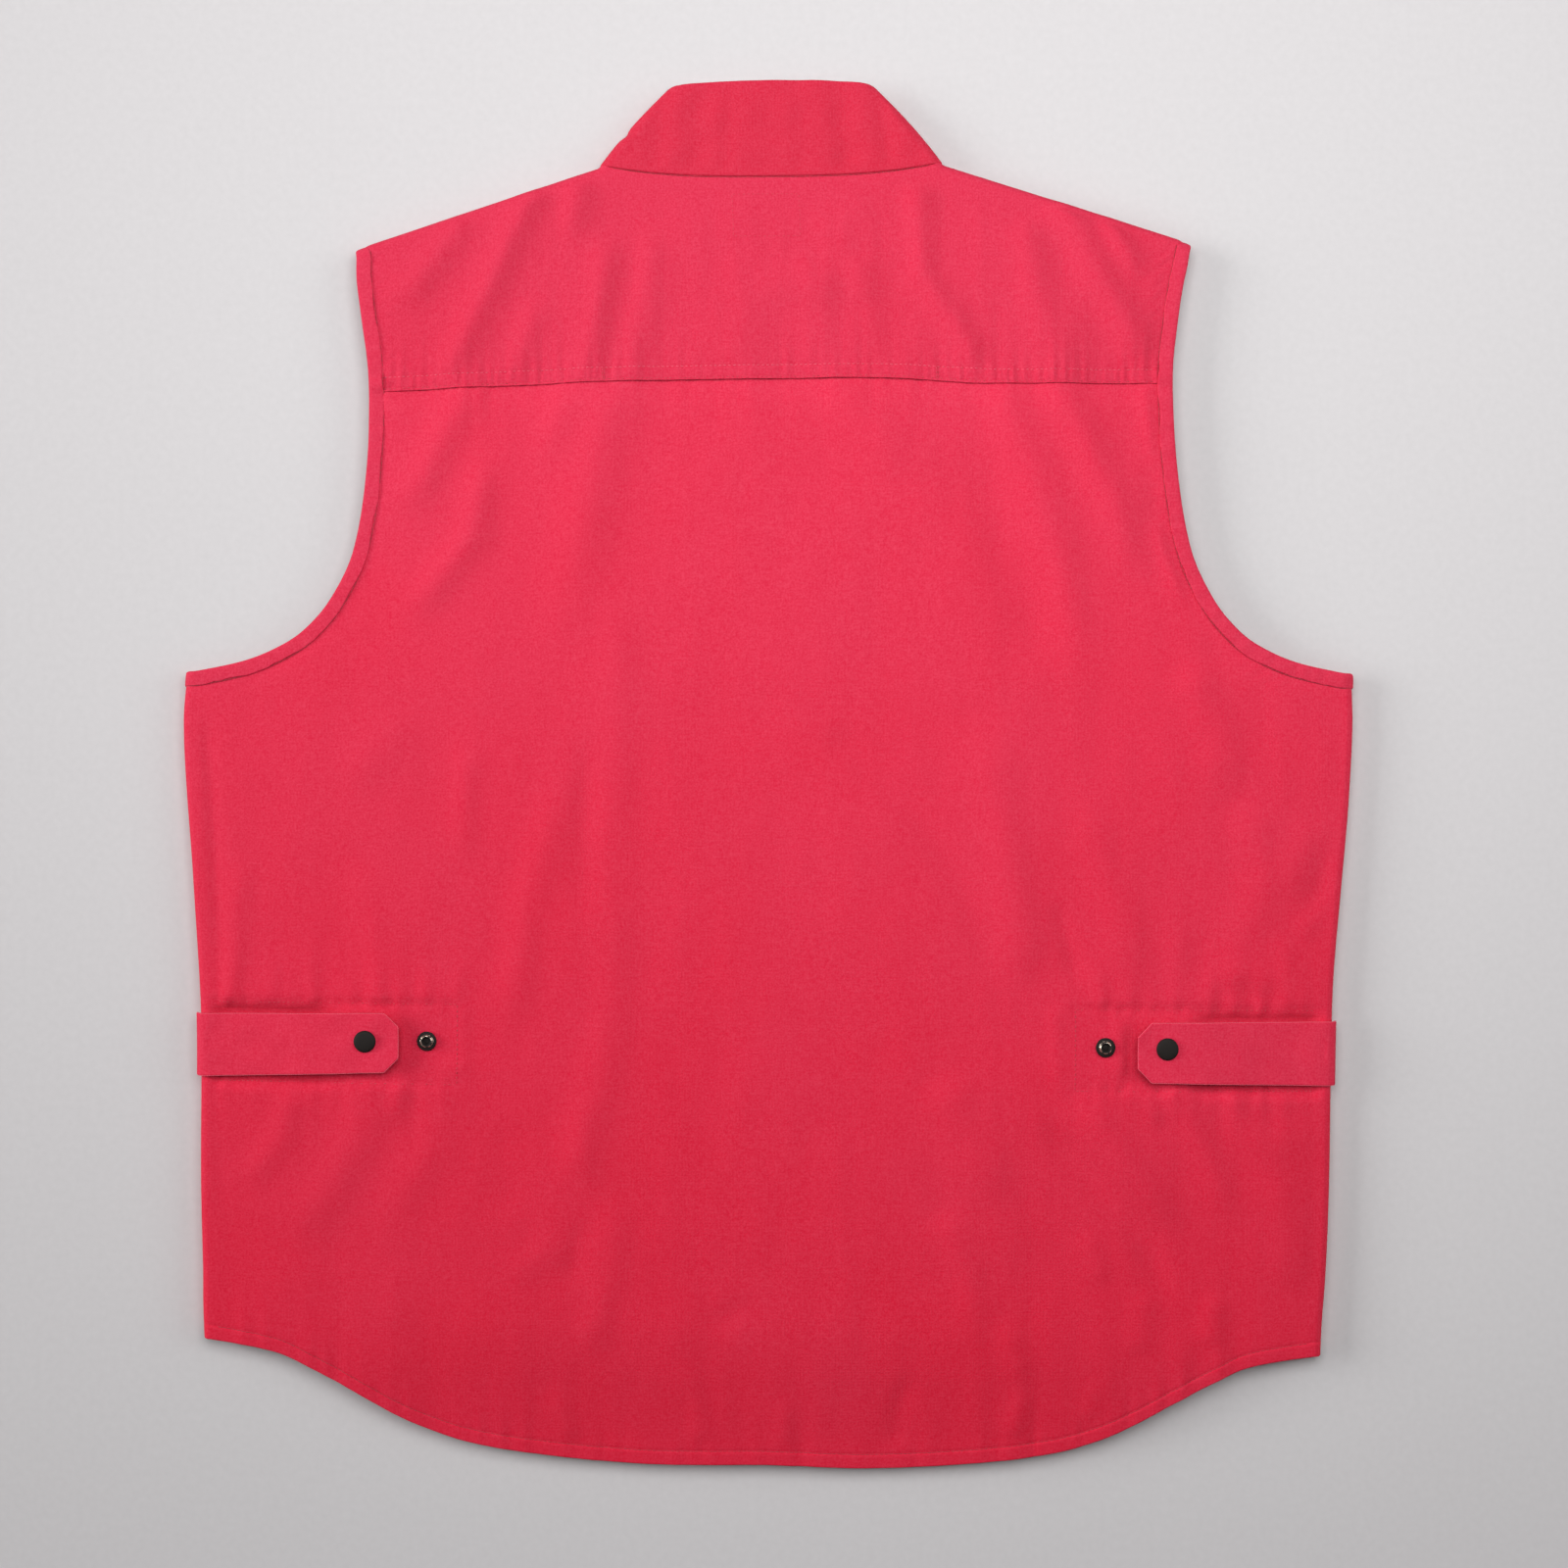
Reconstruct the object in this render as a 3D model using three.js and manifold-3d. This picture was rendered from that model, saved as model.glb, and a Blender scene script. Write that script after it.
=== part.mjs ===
// A sleeveless sailing vest of red cotton, lying flat on its front with its back up.
// Millimetres. +X to the wearer's right, +Y to the collar, +Z up out of the back.
// Every cloth piece is a thin mid-surface of quads, given a thickness and closed at its edges.
import * as THREE from "three";
import { mergeVertices } from "three/addons/utils/BufferGeometryUtils.js";
import Module from "manifold-3d";

const wasm = await Module();
wasm.setup();

// Cloth thicknesses and clear spaces
const CLOTH = 1.2;
const HEM_CLOTH = 2.4;
const COLLAR_CLOTH = 2.2;
const TAB_CLOTH = 1.6;
const STRIP_CLOTH = 1.2;
const GAP = 0.3;
const SEAM_GAP = 0.7;

// Folds that join the back to the front, and how high the back stands between them
const ROLL = 5;
const SEAM_Z = CLOTH / 2 + ROLL;
const ROLL_TOP = SEAM_Z + ROLL;
const ROLL_INSET = CLOTH / 2 + ROLL;
const SEAM_ANGLE = SEAM_GAP / 2 / ROLL;
const ROLL_ANGLES = [90, 60, 30].map((degrees) => (degrees * Math.PI) / 180).concat(SEAM_ANGLE);
const CROWN = 7;
const CROWN_REACH = { chest: 325, armholes: 252, narrowsFrom: 45, narrowsTo: 135 };
const CROWN_SHARE = { hem: 0.3, neck: 0.2, fullFrom: -270, fullTo: 190 };

// Small lean and twist of the vest as it was laid down
const LEAN = 0.0057;
const TWIST = 0.004;
const TWIST_PER_MM = -3.7e-5;

// Half of the back's outline: side fold, hem and cut edge of the armhole
const SIDE = curve([
  [-324, 316.5],
  [-240, 319.5],
  [-130, 321.5],
  [-60, 325.5],
  [-10, 329.5],
  [30, 331.3],
  [56, 330],
]);
const HEM = curve([
  [0, -391.5],
  [65, -392.3],
  [118, -389],
  [168, -382],
  [201, -371],
  [235, -353],
  [268, -335.5],
  [284, -330],
  [316, -324],
]);
const ARMHOLE = [
  [324.9, 56.2],
  [295.5, 64.8],
  [275.4, 73.9],
  [262.7, 83],
  [248.5, 100.2],
  [235.7, 127.7],
  [228.3, 175],
  [226.9, 225],
  [234.7, 299],
];
const FRONT_ARMHOLE = [
  [324.9, 56.2],
  [292, 60.5],
  [266, 68],
  [250.5, 77.5],
  [236, 95],
  [223, 124],
  [215.5, 172],
  [216.5, 225],
  [234.7, 299],
];
const ARMPIT_Y = 56.2;
const HEM_CORNER_Y = -324;
const HEM_LOW_Y = -392;
const CORNER = 4;
const FRONT_HEM_SHORT = 5;

// Shoulders, neck and collar
const NECK = new THREE.Vector2(97, 345.2);
const TIP = new THREE.Vector2(236, 299.5);
const SHOULDER_START = 98.8;
const COLLAR_CORNER = new THREE.Vector2(57.7, 388.5);
const COLLAR_BASE_Y = 339.3;
const COLLAR_TOP_Y = 392.4;
const NECK_SAG = 1.7;
const FRONT_NECK_Y = 262;
const FRONT_COLLAR_Y = 316;
const NECKLINE_REACH = 30;
const COLLAR_RIM_REACH = 20;
const COLLAR_TOP_DROP = 0.4;

// Yoke: lower edge from left to right, lap over the back body, and the free vent in its middle
const YOKE_EDGE = curve([
  [-228, 217.5],
  [-90, 222],
  [0, 223.3],
  [64, 223.5],
  [97, 222],
  [125, 220.2],
  [228, 220.5],
]);
const YOKE_HALF = 227;
const LAP = 12;
const LAP_STEP = CLOTH + GAP;
const LAP_HALF = 187;
const LAP_SINKS_OVER = 15;
const LAP_CLEAR_OF_BINDING = [21, 40];
const VENT_HALF = 93;
const VENT_LIFT = 1;
const VENT_REACH = 22;

// Binding, hem, tabs, snaps and closing strip
const BINDING_WALL = 1;
const BINDING_WIDTH = 7;
const BINDING_FLOOR_LIFT = BINDING_WALL + GAP + 0.5;
const BINDING_LIFTS_OVER = [34, 9];
const HEM_WIDTH = 8;
const TAB_WIDTH = 36;
const TAB_Y = -154;
const TAB_TIP = 209;
const TAB_CHAMFER = 8;
const SNAP_Y = -153;
const CAP_X = 225;
const STUD_X = 191;
const SNAP_SEGMENTS = 14;
const TAB_ROOT_LIFT = CLOTH / 2 + GAP + TAB_CLOTH / 2;
const TAB_SNAP_LIFT = 5.2;
const TAB_RISES_OVER = [302, 240];
const STRIP_HALF = 13;

// Main folds of the back: start and end of the crest, half width and height
const FOLDS = [
  [-87, 60, -87, -235, 17, 3],
  [-147, 0, -136, -120, 19, 2.2],
  [120, 200, 164, 56, 17, 2.6],
  [170, 195, 212, 110, 15, 2],
  [-191, 200, -212, 95, 15, 2.2],
  [-97, 200, -125, 84, 17, 2],
  [131, 28, 153, -60, 19, 2],
  [281, -38, 258, -112, 15, 1.8],
  [-252, -185, -291, -244, 14, 1.8],
  [-213, -185, -262, -255, 15, 2],
  [164, -175, 225, -235, 15, 2],
  [200, -185, 253, -250, 15, 1.8],
  [-272, -70, -274, -120, 14, 1.6],
  [-147, 322, -178, 240, 15, 2],
  [-112, 306, -134, 240, 14, 1.6],
  [170, 316, 196, 252, 15, 2],
  [88, 288, 112, 242, 14, 1.6],
  [-47, -330, -47, -372, 14, 1.4],
  [75, -330, 75, -372, 14, 1.4],
];

// How far from each edge the folds start and are whole
const FOLD_FADE = {
  side: [4, 30],
  tab: [12, 26],
  stud: [12, 26],
  armhole: [10, 34],
  yokeEdge: [14, 30],
  top: [6, 26],
  hem: [10, 22],
};

// Snap profiles as radius and height over the middle of the back's cloth
const STUD_PROFILE = [
  [0, -1.75],
  [4.2, -1.75],
  [4.2, -0.95],
  [1.6, -0.95],
  [1.6, 0.95],
  [5.5, 0.95],
  [5.5, 1.35],
  [4.6, 1.55],
  [2.9, 1.55],
  [2.9, 3.05],
  [1.7, 3.05],
  [1.7, 1.75],
  [0, 1.75],
];
const CAP_PROFILE = [
  [0, 3.4],
  [3.3, 3.4],
  [3.3, 1.9],
  [5.3, 1.9],
  [5.3, 4.1],
  [1.6, 4.1],
  [1.6, 6.35],
  [6.2, 6.35],
  [6.2, 6.9],
  [5.2, 7.6],
  [2.6, 8],
  [0, 8.1],
];
const SHANK_HOLE = 2;

const CLOTH_RED = 0xd92b47;
const SNAP_DARK = 0x2a2220;

// Smooth curve through rows of [input, output], level past its ends
function curve(rows) {
  const slopes = rows.map((row, i) => {
    const before = rows[Math.max(i - 1, 0)];
    const after = rows[Math.min(i + 1, rows.length - 1)];
    return (after[1] - before[1]) / (after[0] - before[0]);
  });
  return (input) => {
    const x = THREE.MathUtils.clamp(input, rows[0][0], rows[rows.length - 1][0]);
    let i = 0;
    while (i < rows.length - 2 && x > rows[i + 1][0]) {
      i += 1;
    }
    const span = rows[i + 1][0] - rows[i][0];
    const t = (x - rows[i][0]) / span;
    const blend = t * t * (3 - 2 * t);
    const bend = t * (1 - t) * span * (slopes[i] * (1 - t) - slopes[i + 1] * t);
    return rows[i][1] * (1 - blend) + rows[i + 1][1] * blend + bend;
  };
}

function mix(a, b, t) {
  return a + (b - a) * t;
}

// Eased step from 0 at one value to 1 at the other, rising or falling
function smooth([from, to], x) {
  const t = THREE.MathUtils.clamp((x - from) / (to - from), 0, 1);
  return t * t * (3 - 2 * t);
}

function steps(from, to, count) {
  return Array.from({ length: count + 1 }, (_, i) => mix(from, to, i / count));
}

// The armhole's steep part gives the half width at a height, its flat part the height at a half width
function armholeCurves(rows) {
  return {
    corner: rows[CORNER],
    halfAt: curve(rows.slice(CORNER - 1).map(([x, y]) => [y, x])),
    heightAt: curve(rows.slice(0, CORNER + 2).reverse()),
    points: rows,
  };
}

const backArmhole = armholeCurves(ARMHOLE);
const frontArmhole = armholeCurves(FRONT_ARMHOLE);

function rollCentre(y) {
  return SIDE(Math.min(y, ARMPIT_Y)) - ROLL_INSET;
}

// Distance in plan from a point to a chain of points
function distanceTo(chain, x, y) {
  let least = Infinity;
  for (let i = 1; i < chain.length; i += 1) {
    const [ax, ay] = chain[i - 1];
    const [bx, by] = chain[i];
    const dx = bx - ax;
    const dy = by - ay;
    const t = THREE.MathUtils.clamp(((x - ax) * dx + (y - ay) * dy) / (dx * dx + dy * dy), 0, 1);
    least = Math.min(least, Math.hypot(x - ax - dx * t, y - ay - dy * t));
  }
  return least;
}

// Height of the back's folds, dying out at the seams, the hem, the sides and the tabs
function foldHeight(x, y) {
  let height = 0;
  for (const [ax, ay, bx, by, half, crest] of FOLDS) {
    const dx = bx - ax;
    const dy = by - ay;
    const t = THREE.MathUtils.clamp(((x - ax) * dx + (y - ay) * dy) / (dx * dx + dy * dy), 0, 1);
    const away = Math.hypot(x - ax - dx * t, y - ay - dy * t) / half;
    height += crest * Math.exp(-away * away);
  }
  const side = Math.abs(x);
  const edge = y < backArmhole.corner[1] ? rollCentre(y) : backArmhole.halfAt(y);
  const aboveTab = smooth(FOLD_FADE.tab, Math.abs(y - TAB_Y) - TAB_WIDTH / 2);
  const besideTab = smooth(FOLD_FADE.stud, STUD_X - side);
  const fades = [
    smooth(FOLD_FADE.side, edge - side),
    Math.max(aboveTab, besideTab),
    smooth(FOLD_FADE.armhole, distanceTo(ARMHOLE, side, y)),
    smooth(FOLD_FADE.yokeEdge, Math.abs(y - YOKE_EDGE(x))),
    smooth(FOLD_FADE.top, topOfYoke(x) - y),
    smooth(FOLD_FADE.hem, y - HEM(side)),
  ];
  return fades.reduce((product, fade) => product * fade, height);
}

// Middle of the back layer's cloth: level with the side folds at the edges, crowned between them
function backHeight(x, y) {
  const narrow = smooth([CROWN_REACH.narrowsFrom, CROWN_REACH.narrowsTo], y);
  const reach = mix(CROWN_REACH.chest, CROWN_REACH.armholes, narrow);
  const across = 1 - Math.min(Math.abs(x) / reach, 1) ** 3;
  const low = mix(CROWN_SHARE.hem, 1, smooth([HEM_LOW_Y, CROWN_SHARE.fullFrom], y));
  const high = mix(1, CROWN_SHARE.neck, smooth([CROWN_SHARE.fullTo, NECK.y], y));
  return ROLL_TOP + CROWN * across * low * high + foldHeight(x, y);
}

// The back body sinks under the yoke's edge, but stays level with it inside the binding
function bodyHeight(x, y) {
  const under = smooth([LAP_SINKS_OVER, SEAM_GAP], YOKE_EDGE(x) - y);
  const clear = under > 0 ? smooth(LAP_CLEAR_OF_BINDING, backArmhole.halfAt(y) - Math.abs(x)) : 0;
  return backHeight(x, y) - LAP_STEP * under * clear;
}

function yokeHeight(x, y) {
  const across = smooth([0, VENT_REACH], VENT_HALF - Math.abs(x));
  return backHeight(x, y) + VENT_LIFT * across * smooth([VENT_REACH, 0], y - YOKE_EDGE(x));
}

// Middle of a front's cloth: flat on the floor, lifted by the binding's lower wall at the armhole
function frontHeight(x, y) {
  const near = smooth(BINDING_LIFTS_OVER, distanceTo(FRONT_ARMHOLE, Math.abs(x), y));
  return CLOTH / 2 + BINDING_FLOOR_LIFT * near;
}

function shoulderY(x) {
  return mix(NECK.y, TIP.y, (x - NECK.x) / (TIP.x - NECK.x));
}

function neckSeamY(x) {
  return COLLAR_BASE_Y - SEAM_GAP + NECK_SAG * (x / foldCentre(0).x) ** 2;
}

function topOfYoke(x) {
  const side = Math.abs(x);
  return side > SHOULDER_START ? shoulderY(side) : neckSeamY(side);
}

// Lays a point of the flat pattern down with the vest's lean and twist
function lay(point) {
  const slope = TWIST + TWIST_PER_MM * point.y;
  return new THREE.Vector3(point.x + LEAN * point.y, point.y - point.x * slope, point.z);
}

// A mid-surface under construction: rows of nodes with the quads between neighbouring rows
class Sheet {
  constructor() {
    this.nodes = [];
    this.quads = [];
    this.thick = [];
  }

  row(points, thickness = CLOTH) {
    return points.map((point) => {
      this.nodes.push(lay(point));
      this.thick.push(thickness);
      return this.nodes.length - 1;
    });
  }

  join(lower, upper) {
    for (let i = 1; i < lower.length; i += 1) {
      this.quads.push([lower[i - 1], lower[i], upper[i], upper[i - 1]]);
    }
  }

  stack(rows) {
    for (let i = 1; i < rows.length; i += 1) {
      this.join(rows[i - 1], rows[i]);
    }
  }

  normals() {
    const sums = this.nodes.map(() => new THREE.Vector3());
    for (const quad of this.quads) {
      const [a, b, c, d] = quad.map((i) => this.nodes[i]);
      const normal = c.clone().sub(a).cross(d.clone().sub(b)).normalize();
      for (const i of quad) {
        sums[i].add(normal);
      }
    }
    return sums.map((sum) => sum.normalize());
  }

  // Closed solid: both faces, and a wall along every edge that only one quad has
  solid() {
    const normals = this.normals();
    const count = this.nodes.length;
    const points = [];
    for (const side of [0.5, -0.5]) {
      this.nodes.forEach((node, i) => {
        points.push(node.clone().addScaledVector(normals[i], side * this.thick[i]));
      });
    }
    const index = [];
    const open = new Map();
    for (const quad of this.quads) {
      const [a, b, c, d] = quad;
      index.push(a, b, c, a, c, d);
      index.push(a + count, c + count, b + count, a + count, d + count, c + count);
      quad.forEach((from, i) => {
        const to = quad[(i + 1) % 4];
        if (!open.delete(`${to}/${from}`)) {
          open.set(`${from}/${to}`, [from, to]);
        }
      });
    }
    for (const [from, to] of open.values()) {
      index.push(to, from, from + count, to, from + count, to + count);
    }
    return shape(points, index);
  }
}

function shape(points, index) {
  const geometry = new THREE.BufferGeometry().setFromPoints(points);
  geometry.setIndex(index);
  return geometry;
}

function toManifold(geometry) {
  const bare = geometry.clone();
  bare.deleteAttribute("normal");
  bare.deleteAttribute("uv");
  const merged = mergeVertices(bare, 1e-4);
  const corners = merged.index.array;
  const triangles = [];
  for (let i = 0; i < corners.length; i += 3) {
    const [a, b, c] = corners.slice(i, i + 3);
    if (a !== b && b !== c && c !== a) {
      triangles.push(a, b, c);
    }
  }
  return new wasm.Manifold(
    new wasm.Mesh({
      numProp: 3,
      vertProperties: new Float32Array(merged.attributes.position.array),
      triVerts: new Uint32Array(triangles),
    }),
  );
}

function fromManifold(solid) {
  const mesh = solid.getMesh();
  const geometry = new THREE.BufferGeometry();
  geometry.setAttribute("position", new THREE.BufferAttribute(new Float32Array(mesh.vertProperties), 3));
  geometry.setIndex(new THREE.BufferAttribute(new Uint32Array(mesh.triVerts), 1));
  return geometry;
}

// Cuts round shank holes straight down through a sheet
function drill(geometry, centres) {
  let solid = toManifold(geometry);
  for (const centre of centres) {
    const cutter = new THREE.CylinderGeometry(SHANK_HOLE, SHANK_HOLE, 60, SNAP_SEGMENTS);
    cutter.rotateX(Math.PI / 2);
    cutter.translate(centre.x, centre.y, centre.z);
    solid = solid.subtract(toManifold(cutter));
  }
  return fromManifold(solid);
}

// Back body: the lower block runs from the hem to the armpit curve, the upper one on to the yoke
function backBody() {
  const sheet = new Sheet();
  const [cornerX, cornerY] = backArmhole.corner;
  const topCentre = rollCentre(ARMPIT_Y);
  const cornerShare = cornerX / topCentre;
  const half = steps(0, cornerShare, 11).concat(steps(cornerShare, 1, 3).slice(1));
  const shares = half.slice(1).reverse().map((s) => -s).concat(half);
  const blockTop = (x) => (Math.abs(x) > cornerX ? backArmhole.heightAt(Math.abs(x)) : cornerY);

  const point = (share, t) => {
    const low = HEM(Math.abs(share) * rollCentre(HEM_CORNER_Y));
    const high = blockTop(share * topCentre);
    const y = t < 0 ? low + (t + 2) * HEM_WIDTH : mix(low + HEM_WIDTH + 1.5, high, t);
    const x = share * rollCentre(y);
    return new THREE.Vector3(x, y, bodyHeight(x, y));
  };
  const rolled = (side, t) => {
    const edge = point(side, t);
    const rise = edge.z - SEAM_Z;
    return ROLL_ANGLES.slice(1).map((angle) => {
      const x = edge.x + side * ROLL * Math.cos(angle);
      return new THREE.Vector3(x, edge.y, SEAM_Z + rise * Math.sin(angle));
    });
  };
  const levels = [-2, -1].concat(steps(0, 1, 19));
  const rows = levels.map((t) => {
    const points = [...rolled(-1, t).reverse(), ...shares.map((s) => point(s, t)), ...rolled(1, t)];
    return sheet.row(points, t < 0 ? HEM_CLOTH : CLOTH);
  });
  sheet.stack(rows);

  const topRow = rows[rows.length - 1];
  const inner = shares.map((s, i) => [s, topRow[i + ROLL_ANGLES.length - 1]]);
  const middle = inner.filter(([s]) => Math.abs(s) < cornerShare + 1e-6);
  const upper = [middle.map(([, i]) => i)];
  const upperPoint = (share, t) => {
    const top = YOKE_EDGE((share / cornerShare) * YOKE_HALF) - SEAM_GAP;
    const y = mix(cornerY, top, t);
    const x = (share / cornerShare) * backArmhole.halfAt(y);
    return new THREE.Vector3(x, y, bodyHeight(x, y));
  };
  for (const t of [0.2, 0.4, 0.6, 0.78, 0.9, 1]) {
    upper.push(sheet.row(middle.map(([s]) => upperPoint(s, t))));
  }
  sheet.stack(upper);

  const last = upper[upper.length - 1];
  const tongue = middle
    .map(([s], i) => [(s / cornerShare) * YOKE_HALF, last[i]])
    .filter(([x]) => Math.abs(x) < LAP_HALF);
  const lapPoint = ([x]) => {
    const y = YOKE_EDGE(x) + LAP;
    return new THREE.Vector3(x, y, backHeight(x, y) - LAP_STEP);
  };
  sheet.stack([tongue.map(([, i]) => i), sheet.row(tongue.map(lapPoint))]);

  const edgeOf = (side) => {
    const end = (row) => (side < 0 ? row[0] : row[row.length - 1]);
    const count = ROLL_ANGLES.length - 1 + 3;
    const flat = side < 0 ? topRow.slice(0, count) : topRow.slice(-count).reverse();
    return flat.concat(upper.map(end));
  };
  return { sheet, edges: { left: edgeOf(-1), right: edgeOf(1) } };
}

// Unit vector in plan, square to a shoulder line and pointing out over it
function shoulderOut(side) {
  const along = TIP.clone().sub(NECK).normalize();
  return new THREE.Vector2(-along.y * side, along.x);
}

// Yoke: from its lower edge up to the neck seam in the middle and over the shoulder folds beside it
function backYoke() {
  const sheet = new Sheet();
  const tip = ARMHOLE[ARMHOLE.length - 1][0];
  const half = steps(0, 72, 4).concat([82, 91.5], steps(SHOULDER_START, tip, 7));
  const columns = half.slice(1).reverse().map((x) => -x).concat(half);

  const column = (x) => {
    const side = Math.sign(x);
    const shoulder = Math.abs(x) >= SHOULDER_START;
    const out = shoulder ? shoulderOut(side) : new THREE.Vector2(0, 1);
    const top = shoulder ? shoulderY(Math.abs(x)) : neckSeamY(Math.abs(x)) + ROLL_INSET - ROLL;
    const centre = new THREE.Vector2(x, top).addScaledVector(out, -ROLL_INSET);
    const low = YOKE_EDGE(x);
    const points = steps(0, 1, 6).map((t) => {
      const y = mix(low, centre.y, t);
      const across = mix((x * backArmhole.halfAt(y)) / tip, centre.x, t);
      return new THREE.Vector3(across, y, yokeHeight(across, y));
    });
    const last = points[points.length - 1];
    for (const angle of ROLL_ANGLES.slice(1)) {
      const reach = ROLL * Math.cos(angle);
      const fall = shoulder ? (last.z - SEAM_Z) * (1 - Math.sin(angle)) : 0;
      points.push(new THREE.Vector3(last.x + out.x * reach, last.y + out.y * reach, last.z - fall));
    }
    return points;
  };
  const made = columns.map(column);
  const rows = made[0].map((_, j) => sheet.row(made.map((points) => points[j])));
  sheet.stack(rows);
  return { sheet, edges: { left: rows.map((r) => r[0]), right: rows.map((r) => r[r.length - 1]) } };
}

// Plan curve that leaves the collar's fold squarely and reaches the front edge level
function collarCurve(side, start, reach, endY) {
  const leave = start.clone().addScaledVector(collarOut(1), -reach);
  const points = [start, leave, new THREE.Vector2(reach, endY), new THREE.Vector2(SEAM_GAP / 2, endY)];
  return new THREE.CubicBezierCurve(...points.map((p) => new THREE.Vector2(p.x * side, p.y)));
}

// Plan curve of the front neckline, from the collar's fold to the front edge
function neckline(side) {
  return collarCurve(side, foldCentre(0), NECKLINE_REACH, FRONT_NECK_Y);
}

// Share of a front's upper block where the neckline starts, and where it turns out to the shoulder
const NECKLINE_FROM = 0.5;
const NECKLINE_TURNS_OVER = [0.35, 0];

// One front panel, plain, flat on the floor, with its side and shoulder edges rolled up to the seams
function frontPanel(side) {
  const sheet = new Sheet();
  const [cornerX, cornerY] = frontArmhole.corner;
  const topCentre = rollCentre(ARMPIT_Y);
  const cornerShare = cornerX / topCentre;
  const shares = steps(0, cornerShare, 6).concat(steps(cornerShare, 1, 3).slice(1));
  const blockTop = (x) => (x > cornerX ? frontArmhole.heightAt(x) : cornerY);
  const inner = SEAM_GAP / 2;
  const place = (x, y, z) => new THREE.Vector3(side * x, y, z);

  const point = (share, t) => {
    const low = HEM(share * rollCentre(HEM_CORNER_Y)) + FRONT_HEM_SHORT;
    const high = blockTop(share * topCentre);
    const y = t < 0 ? low + (t + 2) * HEM_WIDTH : mix(low + HEM_WIDTH + 1.5, high, t);
    const x = mix(inner, rollCentre(y), share);
    return place(x, y, t < 0 ? HEM_CLOTH / 2 : frontHeight(x, y));
  };
  const rolled = (t) => {
    const edge = point(1, t);
    const drop = SEAM_Z - edge.z;
    return ROLL_ANGLES.slice(1).map((angle) => {
      const x = Math.abs(edge.x) + ROLL * Math.cos(angle);
      return place(x, edge.y, SEAM_Z - drop * Math.sin(angle));
    });
  };
  const levels = [-2, -1].concat(steps(0, 1, 12));
  const rows = levels.map((t) => {
    const points = [...shares.map((s) => point(s, t)), ...rolled(t)];
    return sheet.row(points, t < 0 ? HEM_CLOTH : CLOTH);
  });
  sheet.stack(rows);

  // Upper block: inner ends up the front edge and round the neckline, outer ends up the armhole
  const neck = neckline(1);
  const out = shoulderOut(1);
  const shoulderEnd = (x) => new THREE.Vector2(x, shoulderY(x)).addScaledVector(out, -ROLL_INSET);
  const neckEnd = shoulderEnd(SHOULDER_START);
  const tipEnd = shoulderEnd(FRONT_ARMHOLE[FRONT_ARMHOLE.length - 1][0]);
  const innerEnd = (t) => {
    if (t <= NECKLINE_FROM) {
      return new THREE.Vector2(inner, mix(cornerY, FRONT_NECK_Y - SEAM_GAP, t / NECKLINE_FROM));
    }
    const u = (1 - t) / (1 - NECKLINE_FROM);
    const tangent = neck.getTangent(u);
    const away = new THREE.Vector2(-tangent.y, tangent.x).multiplyScalar(2 * SEAM_GAP);
    return neck.getPoint(u).add(away).lerp(neckEnd, smooth(NECKLINE_TURNS_OVER, u) ** 2);
  };
  const outerEnd = (t) => {
    const y = mix(cornerY, tipEnd.y, t);
    return new THREE.Vector2(mix(frontArmhole.halfAt(y), tipEnd.x, t > 0.99 ? 1 : 0), y);
  };
  const middle = shares.map((s, i) => [s / cornerShare, i]).filter(([s]) => s < 1 + 1e-6);
  const topRow = rows[rows.length - 1];
  const upper = [middle.map(([, i]) => topRow[i])];
  for (const t of [0.17, 0.34, 0.5, 0.6, 0.7, 0.8, 0.9, 1]) {
    const from = innerEnd(t);
    const to = outerEnd(t);
    upper.push(
      sheet.row(
        middle.map(([s]) => {
          const p = from.clone().lerp(to, s);
          return place(p.x, p.y, frontHeight(p.x, p.y));
        }),
      ),
    );
  }
  const top = middle.map(([s]) => neckEnd.clone().lerp(tipEnd, s));
  for (const angle of ROLL_ANGLES.slice(1)) {
    const points = top.map((p) => {
      const reach = ROLL * Math.cos(angle);
      const drop = SEAM_Z - frontHeight(p.x, p.y);
      return place(p.x + out.x * reach, p.y + out.y * reach, SEAM_Z - drop * Math.sin(angle));
    });
    upper.push(sheet.row(points));
  }
  sheet.stack(upper);

  const count = ROLL_ANGLES.length - 1 + 3;
  const flat = topRow.slice(-count).reverse();
  return { sheet, edge: flat.concat(upper.map((row) => row[row.length - 1])) };
}

// Plain strip inside the fronts that holds them together along the front edges
function frontClosure() {
  const sheet = new Sheet();
  const z = CLOTH + GAP + STRIP_CLOTH / 2;
  const low = HEM(0) + FRONT_HEM_SHORT + HEM_WIDTH + 3;
  const rows = steps(low, FRONT_NECK_Y - 4, 10).map((y) =>
    sheet.row([-STRIP_HALF, STRIP_HALF].map((x) => new THREE.Vector3(x, y, z)), STRIP_CLOTH),
  );
  sheet.stack(rows);
  return sheet.solid();
}

// Collar fold line: the axis of its roll at a share of the collar's height, and its outward direction
function collarOut(side) {
  const along = COLLAR_CORNER.clone().sub(NECK).normalize();
  return new THREE.Vector2(along.y * side, -along.x);
}

function foldCentre(t) {
  const out = collarOut(1);
  return NECK.clone().lerp(COLLAR_CORNER, t).addScaledVector(out, -(COLLAR_CLOTH / 2 + ROLL));
}

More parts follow.
